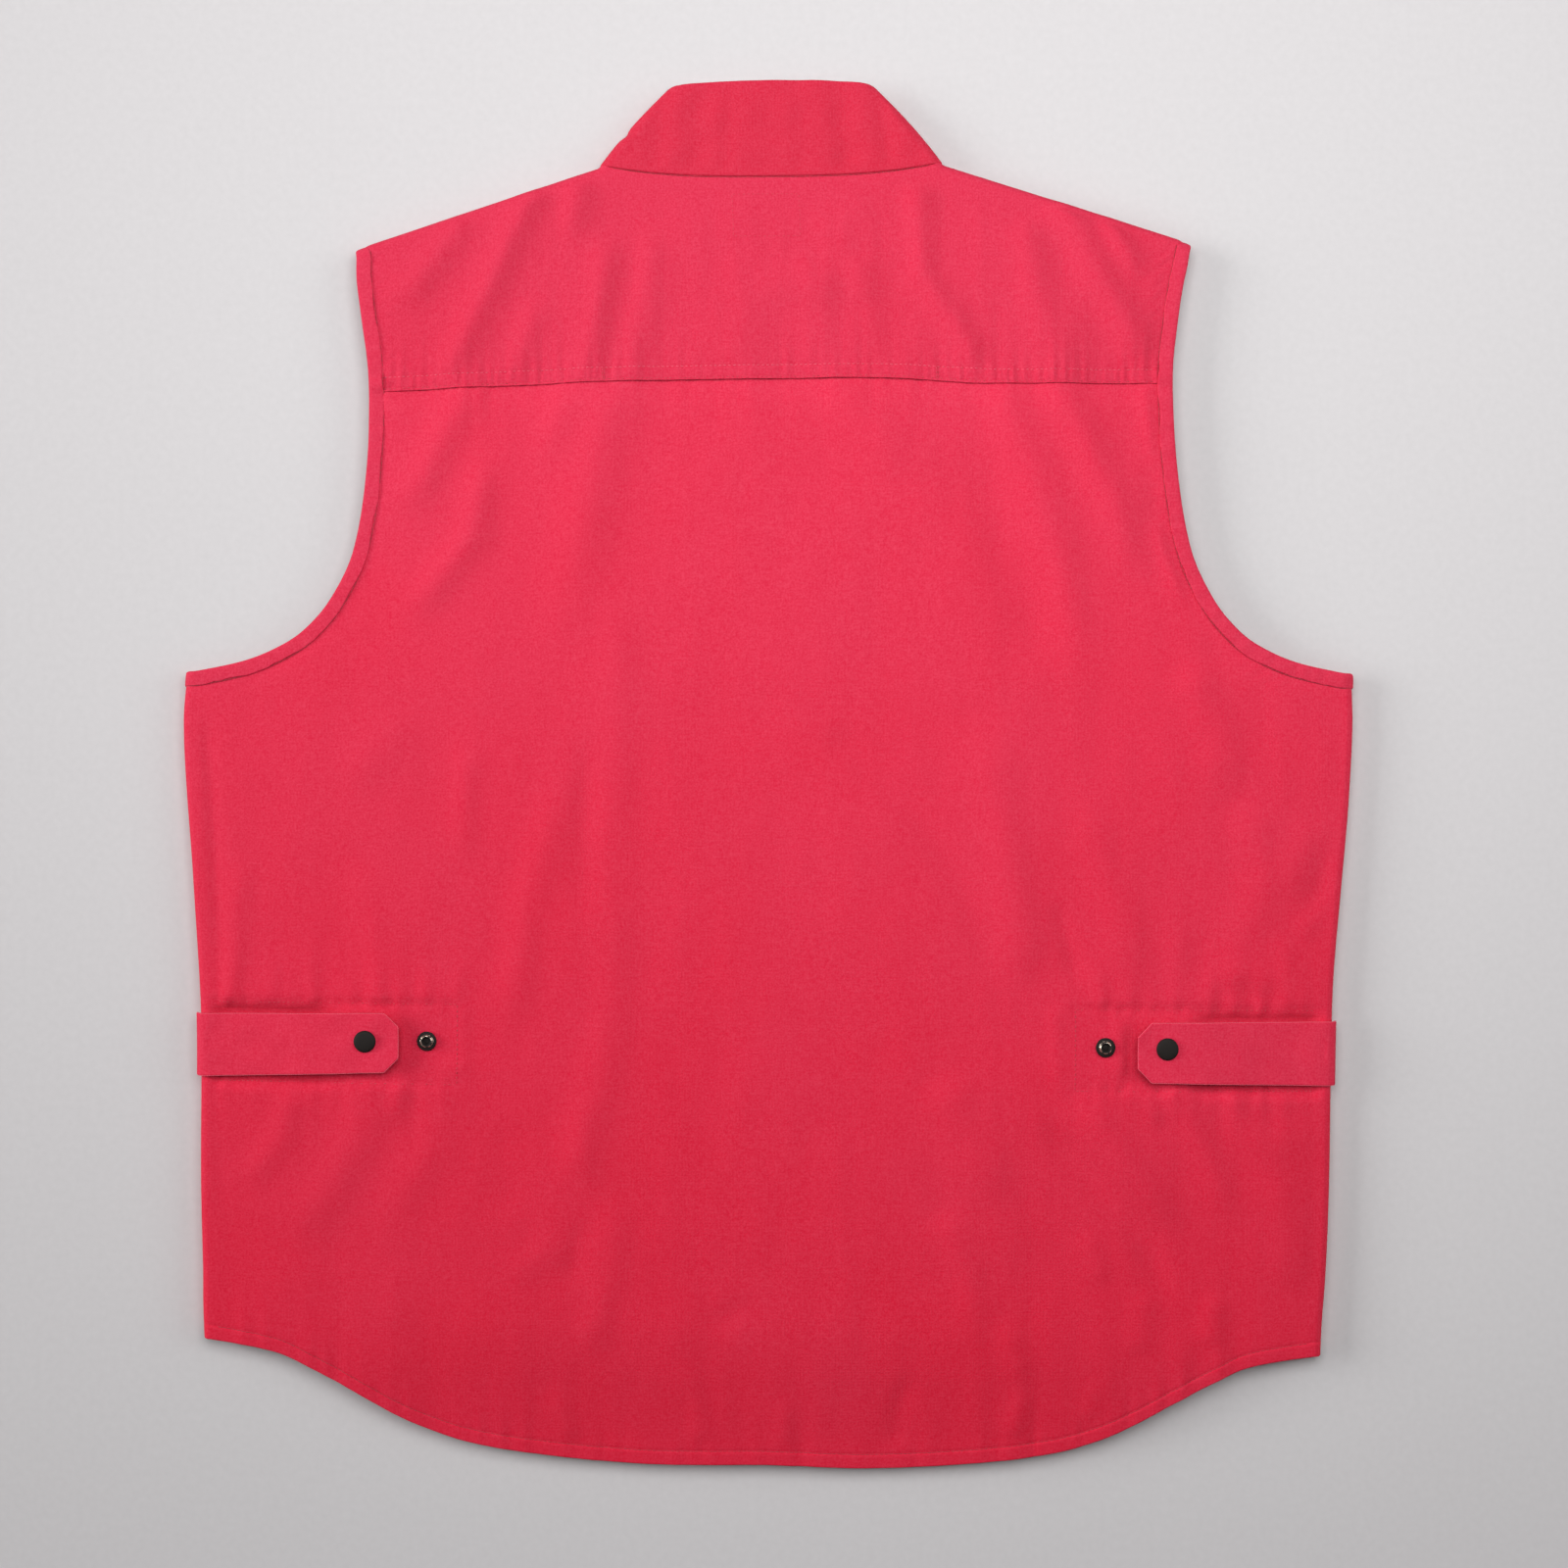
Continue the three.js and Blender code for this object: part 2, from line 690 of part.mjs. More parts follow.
// Stand collar folded flat: front halves on the floor, rolls at the two fold lines, back half on top
function collar() {
  const sheet = new Sheet();
  const floor = COLLAR_CLOTH / 2;
  const topHeight = (x, t) => mix(backHeight(x, neckSeamY(x)), floor + 2 * ROLL - COLLAR_TOP_DROP, t);
  const heights = [0.012, 0.35, 0.68, 1];

  const lowerHalf = (side, t) => {
    const base = neckline(side);
    const rim = collarCurve(side, foldCentre(1), COLLAR_RIM_REACH, FRONT_COLLAR_Y);
    return steps(0, 1, 6).map((u) => {
      const p = base.getPoint(u).lerp(rim.getPoint(u), t);
      return new THREE.Vector3(p.x, p.y, floor);
    });
  };
  const roll = (side, t) => {
    const centre = foldCentre(t);
    const out = collarOut(side);
    const high = topHeight(centre.x, t);
    const middle = (high + floor) / 2;
    return [-60, -30, 0, 30, 60].map((degrees) => {
      const angle = (degrees * Math.PI) / 180;
      const reach = ROLL * Math.cos(angle);
      const z = middle + ((high - floor) / 2) * Math.sin(angle);
      return new THREE.Vector3(side * centre.x + out.x * reach, centre.y + out.y * reach, z);
    });
  };
  const upperHalf = (t) => {
    const end = foldCentre(t);
    return steps(-1, 1, 10).map((s) => {
      const bow = mix(COLLAR_BASE_Y - foldCentre(0).y, COLLAR_TOP_Y - foldCentre(1).y, t) * (1 - s * s);
      const x = s * end.x;
      return new THREE.Vector3(x, end.y + bow, topHeight(x, t));
    });
  };
  const rows = heights.map((t) =>
    sheet.row(
      [
        ...lowerHalf(-1, t).reverse(),
        ...roll(-1, t),
        ...upperHalf(t),
        ...roll(1, t).reverse(),
        ...lowerHalf(1, t),
      ],
      COLLAR_CLOTH,
    ),
  );
  sheet.stack(rows);
  return sheet.solid();
}

// Binding folded over the cut edge of one armhole: a U section swept round the panels' edge nodes
function binding(chains, side) {
  const stations = [];
  for (const { sheet, edge, facing } of chains) {
    const normals = sheet.normals();
    for (const i of edge) {
      const station = { at: sheet.nodes[i].clone(), normal: normals[i].clone().multiplyScalar(facing) };
      const last = stations[stations.length - 1];
      if (last && last.at.distanceTo(station.at) < SEAM_GAP + GAP) {
        last.at.lerp(station.at, 0.5);
        last.normal.lerp(station.normal, 0.5).normalize();
      } else {
        stations.push(station);
      }
    }
  }
  const end = stations.pop();
  stations[0].at.lerp(end.at, 0.5);
  stations[0].normal.lerp(end.normal, 0.5).normalize();
  const near = CLOTH / 2 + GAP;
  const far = near + BINDING_WALL;
  const section = [
    [BINDING_WIDTH, far],
    [-GAP - BINDING_WALL, far],
    [-GAP - BINDING_WALL, -far],
    [BINDING_WIDTH, -far],
    [BINDING_WIDTH, -near],
    [-GAP, -near],
    [-GAP, near],
    [BINDING_WIDTH, near],
  ];
  const points = [];
  const count = stations.length;
  stations.forEach(({ at, normal }, i) => {
    const before = stations[(i + count - 1) % count].at;
    const after = stations[(i + 1) % count].at;
    const tangent = after.clone().sub(at).normalize().add(at.clone().sub(before).normalize()).normalize();
    const inward = normal.clone().cross(tangent).normalize().multiplyScalar(side);
    const up = tangent.clone().cross(inward).normalize().multiplyScalar(side);
    for (const [along, height] of section) {
      points.push(at.clone().addScaledVector(inward, along).addScaledVector(up, height));
    }
  });
  const index = [];
  const size = section.length;
  for (let i = 0; i < count; i += 1) {
    for (let j = 0; j < size; j += 1) {
      const a = i * size + j;
      const b = i * size + ((j + 1) % size);
      const c = ((i + 1) % count) * size + ((j + 1) % size);
      const d = ((i + 1) % count) * size + j;
      if (side > 0) {
        index.push(a, b, c, a, c, d);
      } else {
        index.push(a, c, b, a, d, c);
      }
    }
  }
  return shape(points, index);
}

// Waist tab: from the side seam over the fold, rising to the height of its snap, with a clipped tip
function sideTab(side) {
  const sheet = new Sheet();
  const centre = rollCentre(TAB_Y);
  const lift = (x) => mix(TAB_ROOT_LIFT, TAB_SNAP_LIFT, smooth(TAB_RISES_OVER, x));
  const across = steps(-1, 1, 4);
  const rows = [];
  for (const degrees of [14, 38, 64, 90]) {
    const angle = (degrees * Math.PI) / 180;
    const reach = ROLL + TAB_ROOT_LIFT;
    const points = across.map((w) => {
      const y = TAB_Y + (w * TAB_WIDTH) / 2;
      const rise = bodyHeight(centre, y) - SEAM_Z + TAB_ROOT_LIFT;
      const x = rollCentre(y) + reach * Math.cos(angle);
      return new THREE.Vector3(side * x, y, SEAM_Z + rise * Math.sin(angle));
    });
    rows.push(sheet.row(points, TAB_CLOTH));
  }
  for (const x of [300, 285, 270, 255, 240, 225, TAB_TIP + TAB_CHAMFER, TAB_TIP]) {
    const half = TAB_WIDTH / 2 - (x === TAB_TIP ? TAB_CHAMFER : 0);
    const points = across.map((w) => {
      const y = TAB_Y + w * half;
      return new THREE.Vector3(side * x, y, bodyHeight(side * x, y) + lift(x));
    });
    rows.push(sheet.row(points, TAB_CLOTH));
  }
  sheet.stack(rows);
  return drill(sheet.solid(), [snapCentre(side * CAP_X)]);
}

function snapCentre(x) {
  return lay(new THREE.Vector3(x, SNAP_Y, bodyHeight(x, SNAP_Y)));
}

function snap(profile, x) {
  const centre = snapCentre(x);
  const geometry = new THREE.LatheGeometry(
    profile.map(([radius, height]) => new THREE.Vector2(radius, height)),
    SNAP_SEGMENTS,
  );
  geometry.rotateX(Math.PI / 2);
  geometry.translate(centre.x, centre.y, centre.z);
  return fromManifold(toManifold(geometry));
}

function build() {
  const body = backBody();
  const yoke = backYoke();
  const fronts = { left: frontPanel(-1), right: frontPanel(1) };
  const pieces = [];
  const add = (name, geometry, colour) => pieces.push({ name, geometry, colour });

  const studs = [-STUD_X, -CAP_X, CAP_X, STUD_X].map(snapCentre);
  add("back_body", drill(body.sheet.solid(), studs), CLOTH_RED);
  add("back_yoke", yoke.sheet.solid(), CLOTH_RED);
  add("front_left", fronts.left.sheet.solid(), CLOTH_RED);
  add("front_right", fronts.right.sheet.solid(), CLOTH_RED);
  add("front_closure", frontClosure(), CLOTH_RED);
  add("collar", collar(), CLOTH_RED);
  for (const [word, side] of [
    ["left", -1],
    ["right", 1],
  ]) {
    const front = fronts[word];
    const chains = [
      { sheet: front.sheet, edge: [...front.edge].reverse(), facing: side < 0 ? 1 : -1 },
      { sheet: body.sheet, edge: body.edges[word], facing: 1 },
      { sheet: yoke.sheet, edge: yoke.edges[word], facing: 1 },
    ];
    add(`armhole_binding_${word}`, binding(chains, side), CLOTH_RED);
    add(`side_tab_${word}`, sideTab(side), CLOTH_RED);
    add(`tab_snap_${word}`, snap(CAP_PROFILE, side * CAP_X), SNAP_DARK);
    add(`closed_stud_${word}`, snap(STUD_PROFILE, side * CAP_X), SNAP_DARK);
    add(`spare_stud_${word}`, snap(STUD_PROFILE, side * STUD_X), SNAP_DARK);
  }
  return pieces;
}

// Group of named meshes, moved so that the floor's origin is under the middle of the vest's box
const group = new THREE.Group();
group.name = "sailing_vest";
const box = new THREE.Box3();
for (const { name, geometry, colour } of build()) {
  geometry.computeVertexNormals();
  const material = new THREE.MeshStandardMaterial({ color: colour, roughness: 0.85, metalness: 0 });
  const mesh = new THREE.Mesh(geometry, material);
  mesh.name = name;
  group.add(mesh);
  box.expandByObject(mesh);
}
const middle = box.getCenter(new THREE.Vector3());
for (const mesh of group.children) {
  mesh.geometry.translate(-middle.x, -middle.y, -box.min.z);
}

export default group;
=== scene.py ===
# Looks of a red cotton sailing vest that lies flat on its front, seen from straight above its back.
# Shapes are worked out in millimetres of the flat pattern and turned into metres of the frame at the end.
import math

import bmesh
import bpy
import numpy as np
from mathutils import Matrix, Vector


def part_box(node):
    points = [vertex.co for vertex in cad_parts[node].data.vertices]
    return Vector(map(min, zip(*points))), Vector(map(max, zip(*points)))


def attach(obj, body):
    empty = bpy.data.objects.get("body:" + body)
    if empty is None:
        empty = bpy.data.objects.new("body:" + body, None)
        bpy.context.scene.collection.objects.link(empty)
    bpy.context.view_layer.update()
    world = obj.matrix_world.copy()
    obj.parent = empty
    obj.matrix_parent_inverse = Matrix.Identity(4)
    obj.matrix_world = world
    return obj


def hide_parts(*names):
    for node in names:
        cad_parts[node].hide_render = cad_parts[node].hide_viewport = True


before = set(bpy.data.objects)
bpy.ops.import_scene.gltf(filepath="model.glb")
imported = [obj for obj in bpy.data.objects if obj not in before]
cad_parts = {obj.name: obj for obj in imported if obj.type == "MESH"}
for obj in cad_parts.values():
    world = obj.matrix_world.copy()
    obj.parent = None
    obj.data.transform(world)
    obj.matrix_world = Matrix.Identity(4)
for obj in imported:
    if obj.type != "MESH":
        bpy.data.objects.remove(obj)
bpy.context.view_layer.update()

MM = 0.001
BODY = "root"
COTTON_SLOT = "red_cotton"
METAL_SLOT = "snap_metal"
SIDES = {"left": -1, "right": 1}
UP = np.array([0.0, 0.0, 1.0])

# Cloth, the folds that join the back to the fronts, and how high the back stands between them
CLOTH = 1.2
ROLL = 5.0
ROLL_INSET = CLOTH / 2 + ROLL
SEAM_Z = ROLL_INSET
ROLL_TOP = SEAM_Z + ROLL
ROLL_ANGLES = np.linspace(math.pi / 2, 0, 10)[1:]
CROWN = 7.0
CROWN_POWER = 3
CROWN_REACH = {"chest": 325, "armholes": 252, "narrows": (45, 135)}
CROWN_SHARE = {"hem": 0.0, "neck": 0.2, "full_from": -310, "full_to": 190}

# Small lean and twist of the vest as it was laid down, and how far its rows were pushed to the right by hand
LEAN = 0.0057
TWIST = 0.004
TWIST_PER_MM = -3.7e-5
PUSHED = [
    (-392, -1.0), (-310, -1.9), (-282, -1.15), (-227, -0.9), (-149, -0.6), (-105, -0.9), (-38, -0.4),
    (39, -0.5), (87, 1.2), (173, 0.75), (239, -0.45), (276, -0.6), (300, 0.9), (338, -0.6), (392, -0.8),
]

# Armhole cut edges as points of half width and height, from the armpit to the shoulder tip
ARMHOLE = [
    (324.9, 57.0), (295.5, 63.6), (275.4, 72.4), (262.7, 81.6), (248.5, 99.0),
    (235.7, 127.0), (227.7, 175.0), (226.0, 225.0), (228.7, 256.0), (231.0, 278.0), (236.0, 300.4),
]
FRONT_ARMHOLE = [
    (324.9, 56.2), (292.0, 60.5), (266.0, 68.0), (250.5, 77.5), (236.0, 95.0),
    (223.0, 124.0), (215.5, 172.0), (215.7, 225.0), (220.0, 256.0), (227.0, 278.0), (236.0, 300.4),
]
CORNER = 4
ARMPIT_Y = 56.2
HEM_CORNER_Y = -324.0
HEM_LOW_Y = -392.0
FRONT_HEM_SHORT = 5.0

# Shoulders, neck and collar
NECK = np.array([97.4, 346.2])
TIP = np.array([236.0, 301.3])
TIP_ROUNDED = {"drop": 1.7, "over": 9.0}
SHOULDER_START = 98.8
NECK_TURNS = (90.0, 98.8)
COLLAR_CORNER = np.array([62.0, 386.3])
COLLAR_BASE_Y = 338.6
COLLAR_TOP_Y = 393.6
COLLAR_CLOTH = 2.2
COLLAR_TOP_DROP = 0.4
SEAM_RISE_POWER = 3.0
RIM_BOW = 2.2
RIM_CORNER_POWER = 16
COLLAR_BULGE = 1.3
FOLD_PULL_POWER = 4
COLLAR_FRONT_FROM = 0.07
COLLAR_ON_TOP = 0.9
COLLAR_NOTCH = {"at": 0.42, "half": 0.06, "deep": 1.3}
FRONT_NECK_Y = 262.0
FRONT_NECK_BENDS = 0.35
FRONT_COLLAR_Y = 316.0
NECKLINE_REACH = 30.0
COLLAR_RIM_REACH = 20.0
FRONT_EDGE = 0.35
FRONT_RISE = 1.2
FRONT_RISES_OVER = (34, 9)

# Yoke: lap over the back body, turned edge, and the free vent in its middle
YOKE_HALF = 227.0
LAP = 12.0
LAP_SINK = 1.35
LAP_SINKS_OVER = 15.0
LAP_SINK_AT_BINDING = 0.6
LAP_CLEAR_OF_BINDING = (9, 20)
YOKE_TURN = 0.4
YOKE_FLAP = 10.0
YOKE_FLAP_ROW = 9
VENT_HALF = 93.0
VENT_LIFT = 0.4
VENT_REACH = 22.0
VENT_PUCKERED = 0.4
NECK_RISE = 0.2
NECK_RISES_OVER = (16, 2)
NECK_ENDS_OVER = 8.0
NECK_GROOVE = 1.1
NECK_GROOVE_HALF = 1.5
UNDER_COLLAR = 5.0

# Hem, binding, tabs, snaps and closing strip
HEM_WIDTH = 8.0
HEM_TURN = 0.8
HEM_THICKER = 0.3
HEM_STEP = 0.6
FLAP_START = 0.4
TURN_STEPS = 7
BINDING_WIDTH = 7.0
BINDING_SLANT = 1.7
BINDING_CLEAR = (0.5, 5)
BINDING_STEP = 1.6
TAB_WIDTH = 36.0
TAB_TIP_NARROWER = 2.4
TAB_Y = -154.0
TAB_TIP = 209.0
TAB_LIES = {
    -1: {"longer": 3.0, "root_up": -1.2, "tip_up": 2.0},
    1: {"longer": 0.6, "root_up": -0.3, "tip_up": 0.2},
}
TAB_HOLLOW = 3.4
TAB_HOLLOW_FROM = (236, 256)
TAB_HOLLOW_EASES = {"above": (0, -6), "below": (-6, 4), "side": (-1, 8)}
TAB_OVERHANG = 4.0
TAB_CHAMFER = 8.0
TAB_CLOTH = 1.6
TAB_EDGE_SOFT = 0.9
TAB_EDGE_COLUMN = 2
TAB_EDGE_ROWS = 2
TAB_EDGE_PITCH = 1.0
TAB_ROOT_LIFT = 1.7
TAB_ROOT_TURN = 14.0
TAB_SNAP_LIFT = 5.2
TAB_RISES_OVER = (302, 240)
TAB_CURL = 0.5
TAB_CURLS_OVER = 60.0
TAB_UNEVEN = {"height": 0.18, "wavelength": 24}
SNAP_Y = -153.0
SNAP_SITS_UP = 1.5
CAP_X = 225.0
STUD_X = 191.0
STRIP_HALF = 13.0
STRIP_Z = 2.1
STRIP_ENDS = {"over_hem": 3.0, "below_neck": 4.0}
STRIP_EDGE_SOFT = 0.7

# Sewn lines of the waist patch that the tab closes over
PATCH_LINES_Y = {"above": -130.5, "below": -176.0}
PATCH_FROM_X = 174.0
PATCH_STARTS = (162, 190)
PATCH_ENDS = (318, 310)
PATCH_SWELL = {"above": 0.7, "below": 0.3}
SWELL_RISES_OVER = 5.0
SWELL_REACH = 26.0

# Sewing
STITCH_PITCH = 2.7
STITCH_COVER = 0.6
# Nearly whole cover of each stitch: for the dark seam rows that paint seam shadow, and for the tab's edge
# threads
NEARLY_WHOLE_COVER = 0.98
THREAD_HALF = 0.2
YOKE_ROWS = (1.2, 7.8)
NECK_MARK = {"x": (-22.5, 15.3), "y": (304.7, 328.6), "points": 40, "lift": -0.1}
TACK = {"beyond_vent": 1, "shifts": (-0.5, 0.5), "points": 20}
NECK_ROW = {"below_seam": 0.35, "lift": 0.3}
FRONT_ROW = {"below_hem_edge": 0.4, "lift": -0.1, "from_edge": 7.0, "over_hem": 20, "below_neck": 6}
UPRIGHT_POINTS = {"patch": 90, "front": 900}
ROW_LIFT = 0.05

# Sewn rows along x: where they start and end, and the points that they are worked out at
ROW_RUNS = {
    "yoke": (-219, 219, 900),
    "neck": (-89.4, 89.4, 300),
    "hem": (-308, 308, 1200),
    "front_hem": (2, 306, 600),
    "patch": (PATCH_FROM_X, PATCH_ENDS[1], 300),
}

# Grids: points across each cloth, and its rows: given ones just over a turned edge, then even ones
BACK_COLUMNS = {"coarse_to": 130, "coarse": 51, "fine": 67, "outer": 43}
BACK_ROWS = {
    "near": (HEM_TURN, 1.6, 3, 4.5, 6, 6.8, 7.3, 7.7, 8, 8.3, 8.7, 9.2, 10, 11.2, 12.6),
    "even_from": 14,
    "count": 203,
}
BACK_UPPER_ROWS = 59
LAP_ROWS = (1.5, 4, 8, LAP)
YOKE_COLUMNS = {"inner_to": 90, "inner": 116, "outer": 190}
YOKE_GRID_ROWS = {
    "near": (YOKE_TURN, 0.9, 1.2, 1.6, 2.3, 3.2, 4.1, 5, 5.9, 6.7, 7.3, 7.8, 8.3, 9, 9.9, 10.9),
    "even_from": 12,
    "count": 62,
}
FRONT_COLUMNS = {"inner": 60, "outer": 22}
FRONT_ROWS = {"near": (HEM_TURN, 2, 4, 6, 7.2, 8, 8.8, 10), "even_from": 12, "count": 110}
FRONT_UPPER_ROWS = 90
COLLAR_STEPS = {"turn": 13, "back": 70, "front": 26, "high": 26, "rim": 7}
TAB_STEPS = {"across": 41, "root": 15, "length": 50, "tip": 10}
TAB_TIP_ROWS = (1, 0.7, 0.45, 0.25, 0.1, 0)
STRIP_STEPS = {"across": 15, "length": 160}

# Shares and places that lie closer than this are taken as the same
SAME = 1e-6

# Folds of the back: half width, height, lengths over which they come up and die out, then the crest's points
# as they lie on the floor. A height below zero is a hollow.
FOLDS = [
    # Yoke, left of the middle
    (9, 3, 14, 26, (-168, 318), (-190, 290), (-215, 259)),
    (8.5, 4.2, 12, 34, (-130, 338), (-154, 284), (-179, 232), (-190, 208)),
    (8, 2.7, 12, 28, (-106, 342), (-114, 296)),
    (8, 3.2, 24, 26, (-88, 312), (-98, 253), (-105, 212)),
    (9, 2.6, 24, 26, (-65, 314), (-68, 281), (-76, 236), (-80, 212)),
    (7, 2.1, 18, 22, (-128, 272), (-141, 233), (-147, 214)),
    # Yoke, middle and right
    (12, 2.2, 20, 20, (-14, 277), (50, 278)),
    (8, 1.6, 12, 14, (49, 296), (55, 262)),
    (10, 1.2, 16, 16, (-18, 300), (-14, 262), (-20, 226)),
    (9, 1, 14, 14, (18, 300), (28, 256), (24, 224)),
    (8, 3.6, 14, 28, (84, 338), (87, 282), (111, 244), (121, 214)),
    (11, 2.8, 16, 30, (142, 318), (150, 282), (160, 244), (168, 212)),
    (10, 4, 14, 30, (163, 333), (186, 281), (207, 246), (217, 222)),
    (6, 3, 12, 22, (187, 322), (213, 277)),
    # Below the yoke, left
    (10, 3.2, 30, 36, (-162, 236), (-193, 172), (-213, 140)),
    (9, 2.8, 30, 30, (-158, 186), (-167, 136), (-206, 84)),
    (9, 2.3, 30, 36, (-106, 238), (-129, 166)),
    (15, 2.8, 30, 90, (-81, 238), (-102, 150), (-121, 62)),
    # Below the yoke, right
    (12, 2.5, 34, 40, (20, 232), (90, 162)),
    (14, -2, 40, 40, (110, 196), (142, 106), (164, 54)),
    (13, 3.4, 34, 80, (122, 240), (151, 161), (170, 95), (184, 38)),
    (10, 3.8, 32, 60, (154, 238), (191, 163), (214, 100)),
    (7, 1.9, 26, 36, (208, 236), (225, 160)),
    (6, 1.5, 20, 24, (215, 150), (238, 90)),
    # Middle, left
    (12, 1.8, 90, 50, (-80, 140), (-86, 60), (-88, -16), (-88, -130), (-97, -185), (-109, -252)),
    (7, -1.1, 40, 40, (-101, 34), (-105, -90)),
    (10, 1.7, 50, 40, (-112, 12), (-136, -72), (-147, -150)),
    (7, 1.2, 20, 30, (-169, 22), (-174, -60)),
    (12, 1.2, 24, 20, (-196, 42), (-238, -10)),
    (7, 1.4, 30, 8, (-297, -40), (-308, -132)),
    (9, 1.1, 26, 8, (-238, -44), (-223, -80), (-217, -132)),
    (6, -1.7, 30, 10, (-320, 44), (-316, 0), (-311, -132)),
    # Middle, right
    (9, -1.4, 20, 40, (30, 29), (56, 6), (80, -17), (108, -58), (130, -120)),
    (13, 2.1, 40, 30, (115, 40), (131, -24), (140, -68), (146, -122)),
    (12, 1.7, 50, 36, (172, 14), (192, -63), (211, -130)),
    (5, -1.1, 16, 16, (161, -68), (176, -122)),
    (12, 1.9, 20, 30, (234, 66), (254, 22), (260, -18)),
    (12, 1.3, 24, 22, (264, -12), (282, -52), (270, -88), (254, -134)),
    (6.9, 0.74, 20, 8, (228, -80), (233, -132)),
    (6.9, -1, 14, 14, (252, -115), (296, -135)),
    (8.1, 0.8, 14, 14, (258, -106), (292, -122)),
    (9.2, 1, 18, 18, (310, -20), (294, -72)),
    (6.9, 0.9, 12, 12, (321, -67), (296, -94)),
    (8.1, -0.8, 14, 14, (323, -40), (305, -88)),
    (8.1, 1, 16, 12, (290, -86), (297, -136)),
    # Below the left tab
    (8.1, 1.4, 8, 22, (-268, -178), (-276, -204), (-298, -236)),
    (12, 1.9, 6, 40, (-225, -170), (-233, -206), (-248, -234), (-270, -270)),
    (6.9, 1.3, 6, 18, (-205, -170), (-216, -202)),
    (12, 1.4, 10, 50, (-178, -156), (-188, -209), (-224, -264)),
    (4.6, 0.63, 10, 10, (-172, -124), (-172, -170)),
    (9.2, 0.63, 20, 20, (-209, -270), (-209, -318)),
    (6.9, -0.84, 8, 40, (-316, -172), (-313, -262)),
    # Before the right tab's tip
    (5, 0.9, 8, 8, (198, -134), (198, -173)),
    # Below the right tab
    (14, 2, 20, 40, (92, -168), (114, -204), (131, -250)),
    (8.1, -2, 30, 40, (150, -192), (185, -232), (211, -262), (232, -304)),
    (9.2, 2.3, 26, 34, (172, -176), (190, -204), (211, -230), (232, -260)),
    (5.8, 1.4, 6, 14, (204, -172), (224, -200)),
    (8.1, 2, 6, 34, (226, -174), (250, -221), (266, -258)),
    (8.1, 1.6, 6, 30, (256, -174), (289, -228)),
    (4.6, 0.63, 10, 20, (160, -128), (164, -186)),
    (14, 1.2, 20, 30, (290, -190), (296, -296)),
    # Lower back and above the hem
    (9, 1.4, 30, 30, (-87, -232), (-89, -282), (-105, -336)),
    (8, 0.87, 20, 20, (-104, -174), (-109, -232)),
    (7, -1, 16, 16, (-104, -246), (-112, -292)),
    (9, 0.93, 16, 20, (-114, -258), (-150, -288)),
    (10, -0.81, 20, 20, (-145, -190), (-149, -254)),
    (6, 0.93, 20, 16, (-126, -342), (-105, -384)),
    (6, 1, 22, 16, (-51, -326), (-41, -355), (-38, -386)),
    (7, -0.7, 14, 14, (-4, -293), (-38, -314)),
    (7, 0.93, 14, 14, (176, -254), (190, -290)),
    (9, 1.6, 16, 30, (94, -244), (113, -280), (120, -324)),
    (7, 1.1, 12, 12, (252, -290), (246, -326)),
    (7, 0.93, 12, 12, (212, -288), (208, -330)),
    (6, -0.93, 18, 14, (80, -334), (73, -360), (72, -386)),
    (7, 1.4, 20, 20, (131, -302), (145, -350)),
    (6, 0.93, 20, 14, (147, -336), (135, -380)),
    (5, 0.64, 16, 14, (10, -346), (8, -388)),
    (6, 0.64, 16, 12, (187, -336), (177, -372)),
]

# How much wider a fold is on its right
FOLD_LEE = 1.1

# Short gathers that the patch pulls into the cloth above each tab: where each stands on the patch's line,
# how far it leans to the right over its length, its length and its height
GATHERS = [
    (-304, 8, 60, 0.88), (-282, 3, 36, 0.72), (-257, -4, 38, 0.8), (-238, -7, 46, 0.8), (-219, -4, 34, 0.8),
    (-196, 5, 26, 0.8), (-178, 7, 34, 0.8), (188, -6, 34, 0.72), (204, -7, 26, 0.64), (246, 2, 24, 0.64),
]
GATHER_HALF = 4.6
GATHER_COMES_UP = 4.0
GATHER_DIES_OUT = 0.8

# Soft upright dents of the collar: place, half width and depth
COLLAR_DENTS = [
    (-66, 6, 1.1), (-43, 8, 1.5), (-26, 5, 0.9), (-4, 8, 0.8), (17, 6, 0.8), (43, 8, 1.5), (68, 5, 0.9),
]
DENTS = {"lean": 0.9, "at_rim": 0.45, "from_seam": 0.16, "uneven": 0.2, "stretch": 40, "wavelength": 19}

# How far from each edge the folds start and are whole
FOLD_FADE = {
    "side": (0, 11),
    "tab": (-1, 4),
    "armhole": (7.5, 16),
    "top": (2, 10),
    "hem": (5, 18),
}

# Unevenness of the cloth all over: wavelength and height
CRUMPLES = [(62, 0.25), (26, 0.08), (11, 0.03)]
CRUMPLE_STRETCH = 0.35
YOKE_CRUMPLED = {"more": 1.0, "over": (120, 250), "below_collar": (2, 26)}
WAVES = 14
CRUMPLE_SPREAD = (0.75, 1.35)
RIPPLE_SPREAD = (0.7, 1.6)
SEED = 20

# Where the cloth is pulled flat: distances over which its unevenness fades, and the share that is left
TAUT = {"from_side": (0, 25), "from_tab": (6, 0), "on_tab": 0.15, "from_binding": (5, 16), "at_binding": 0.2}

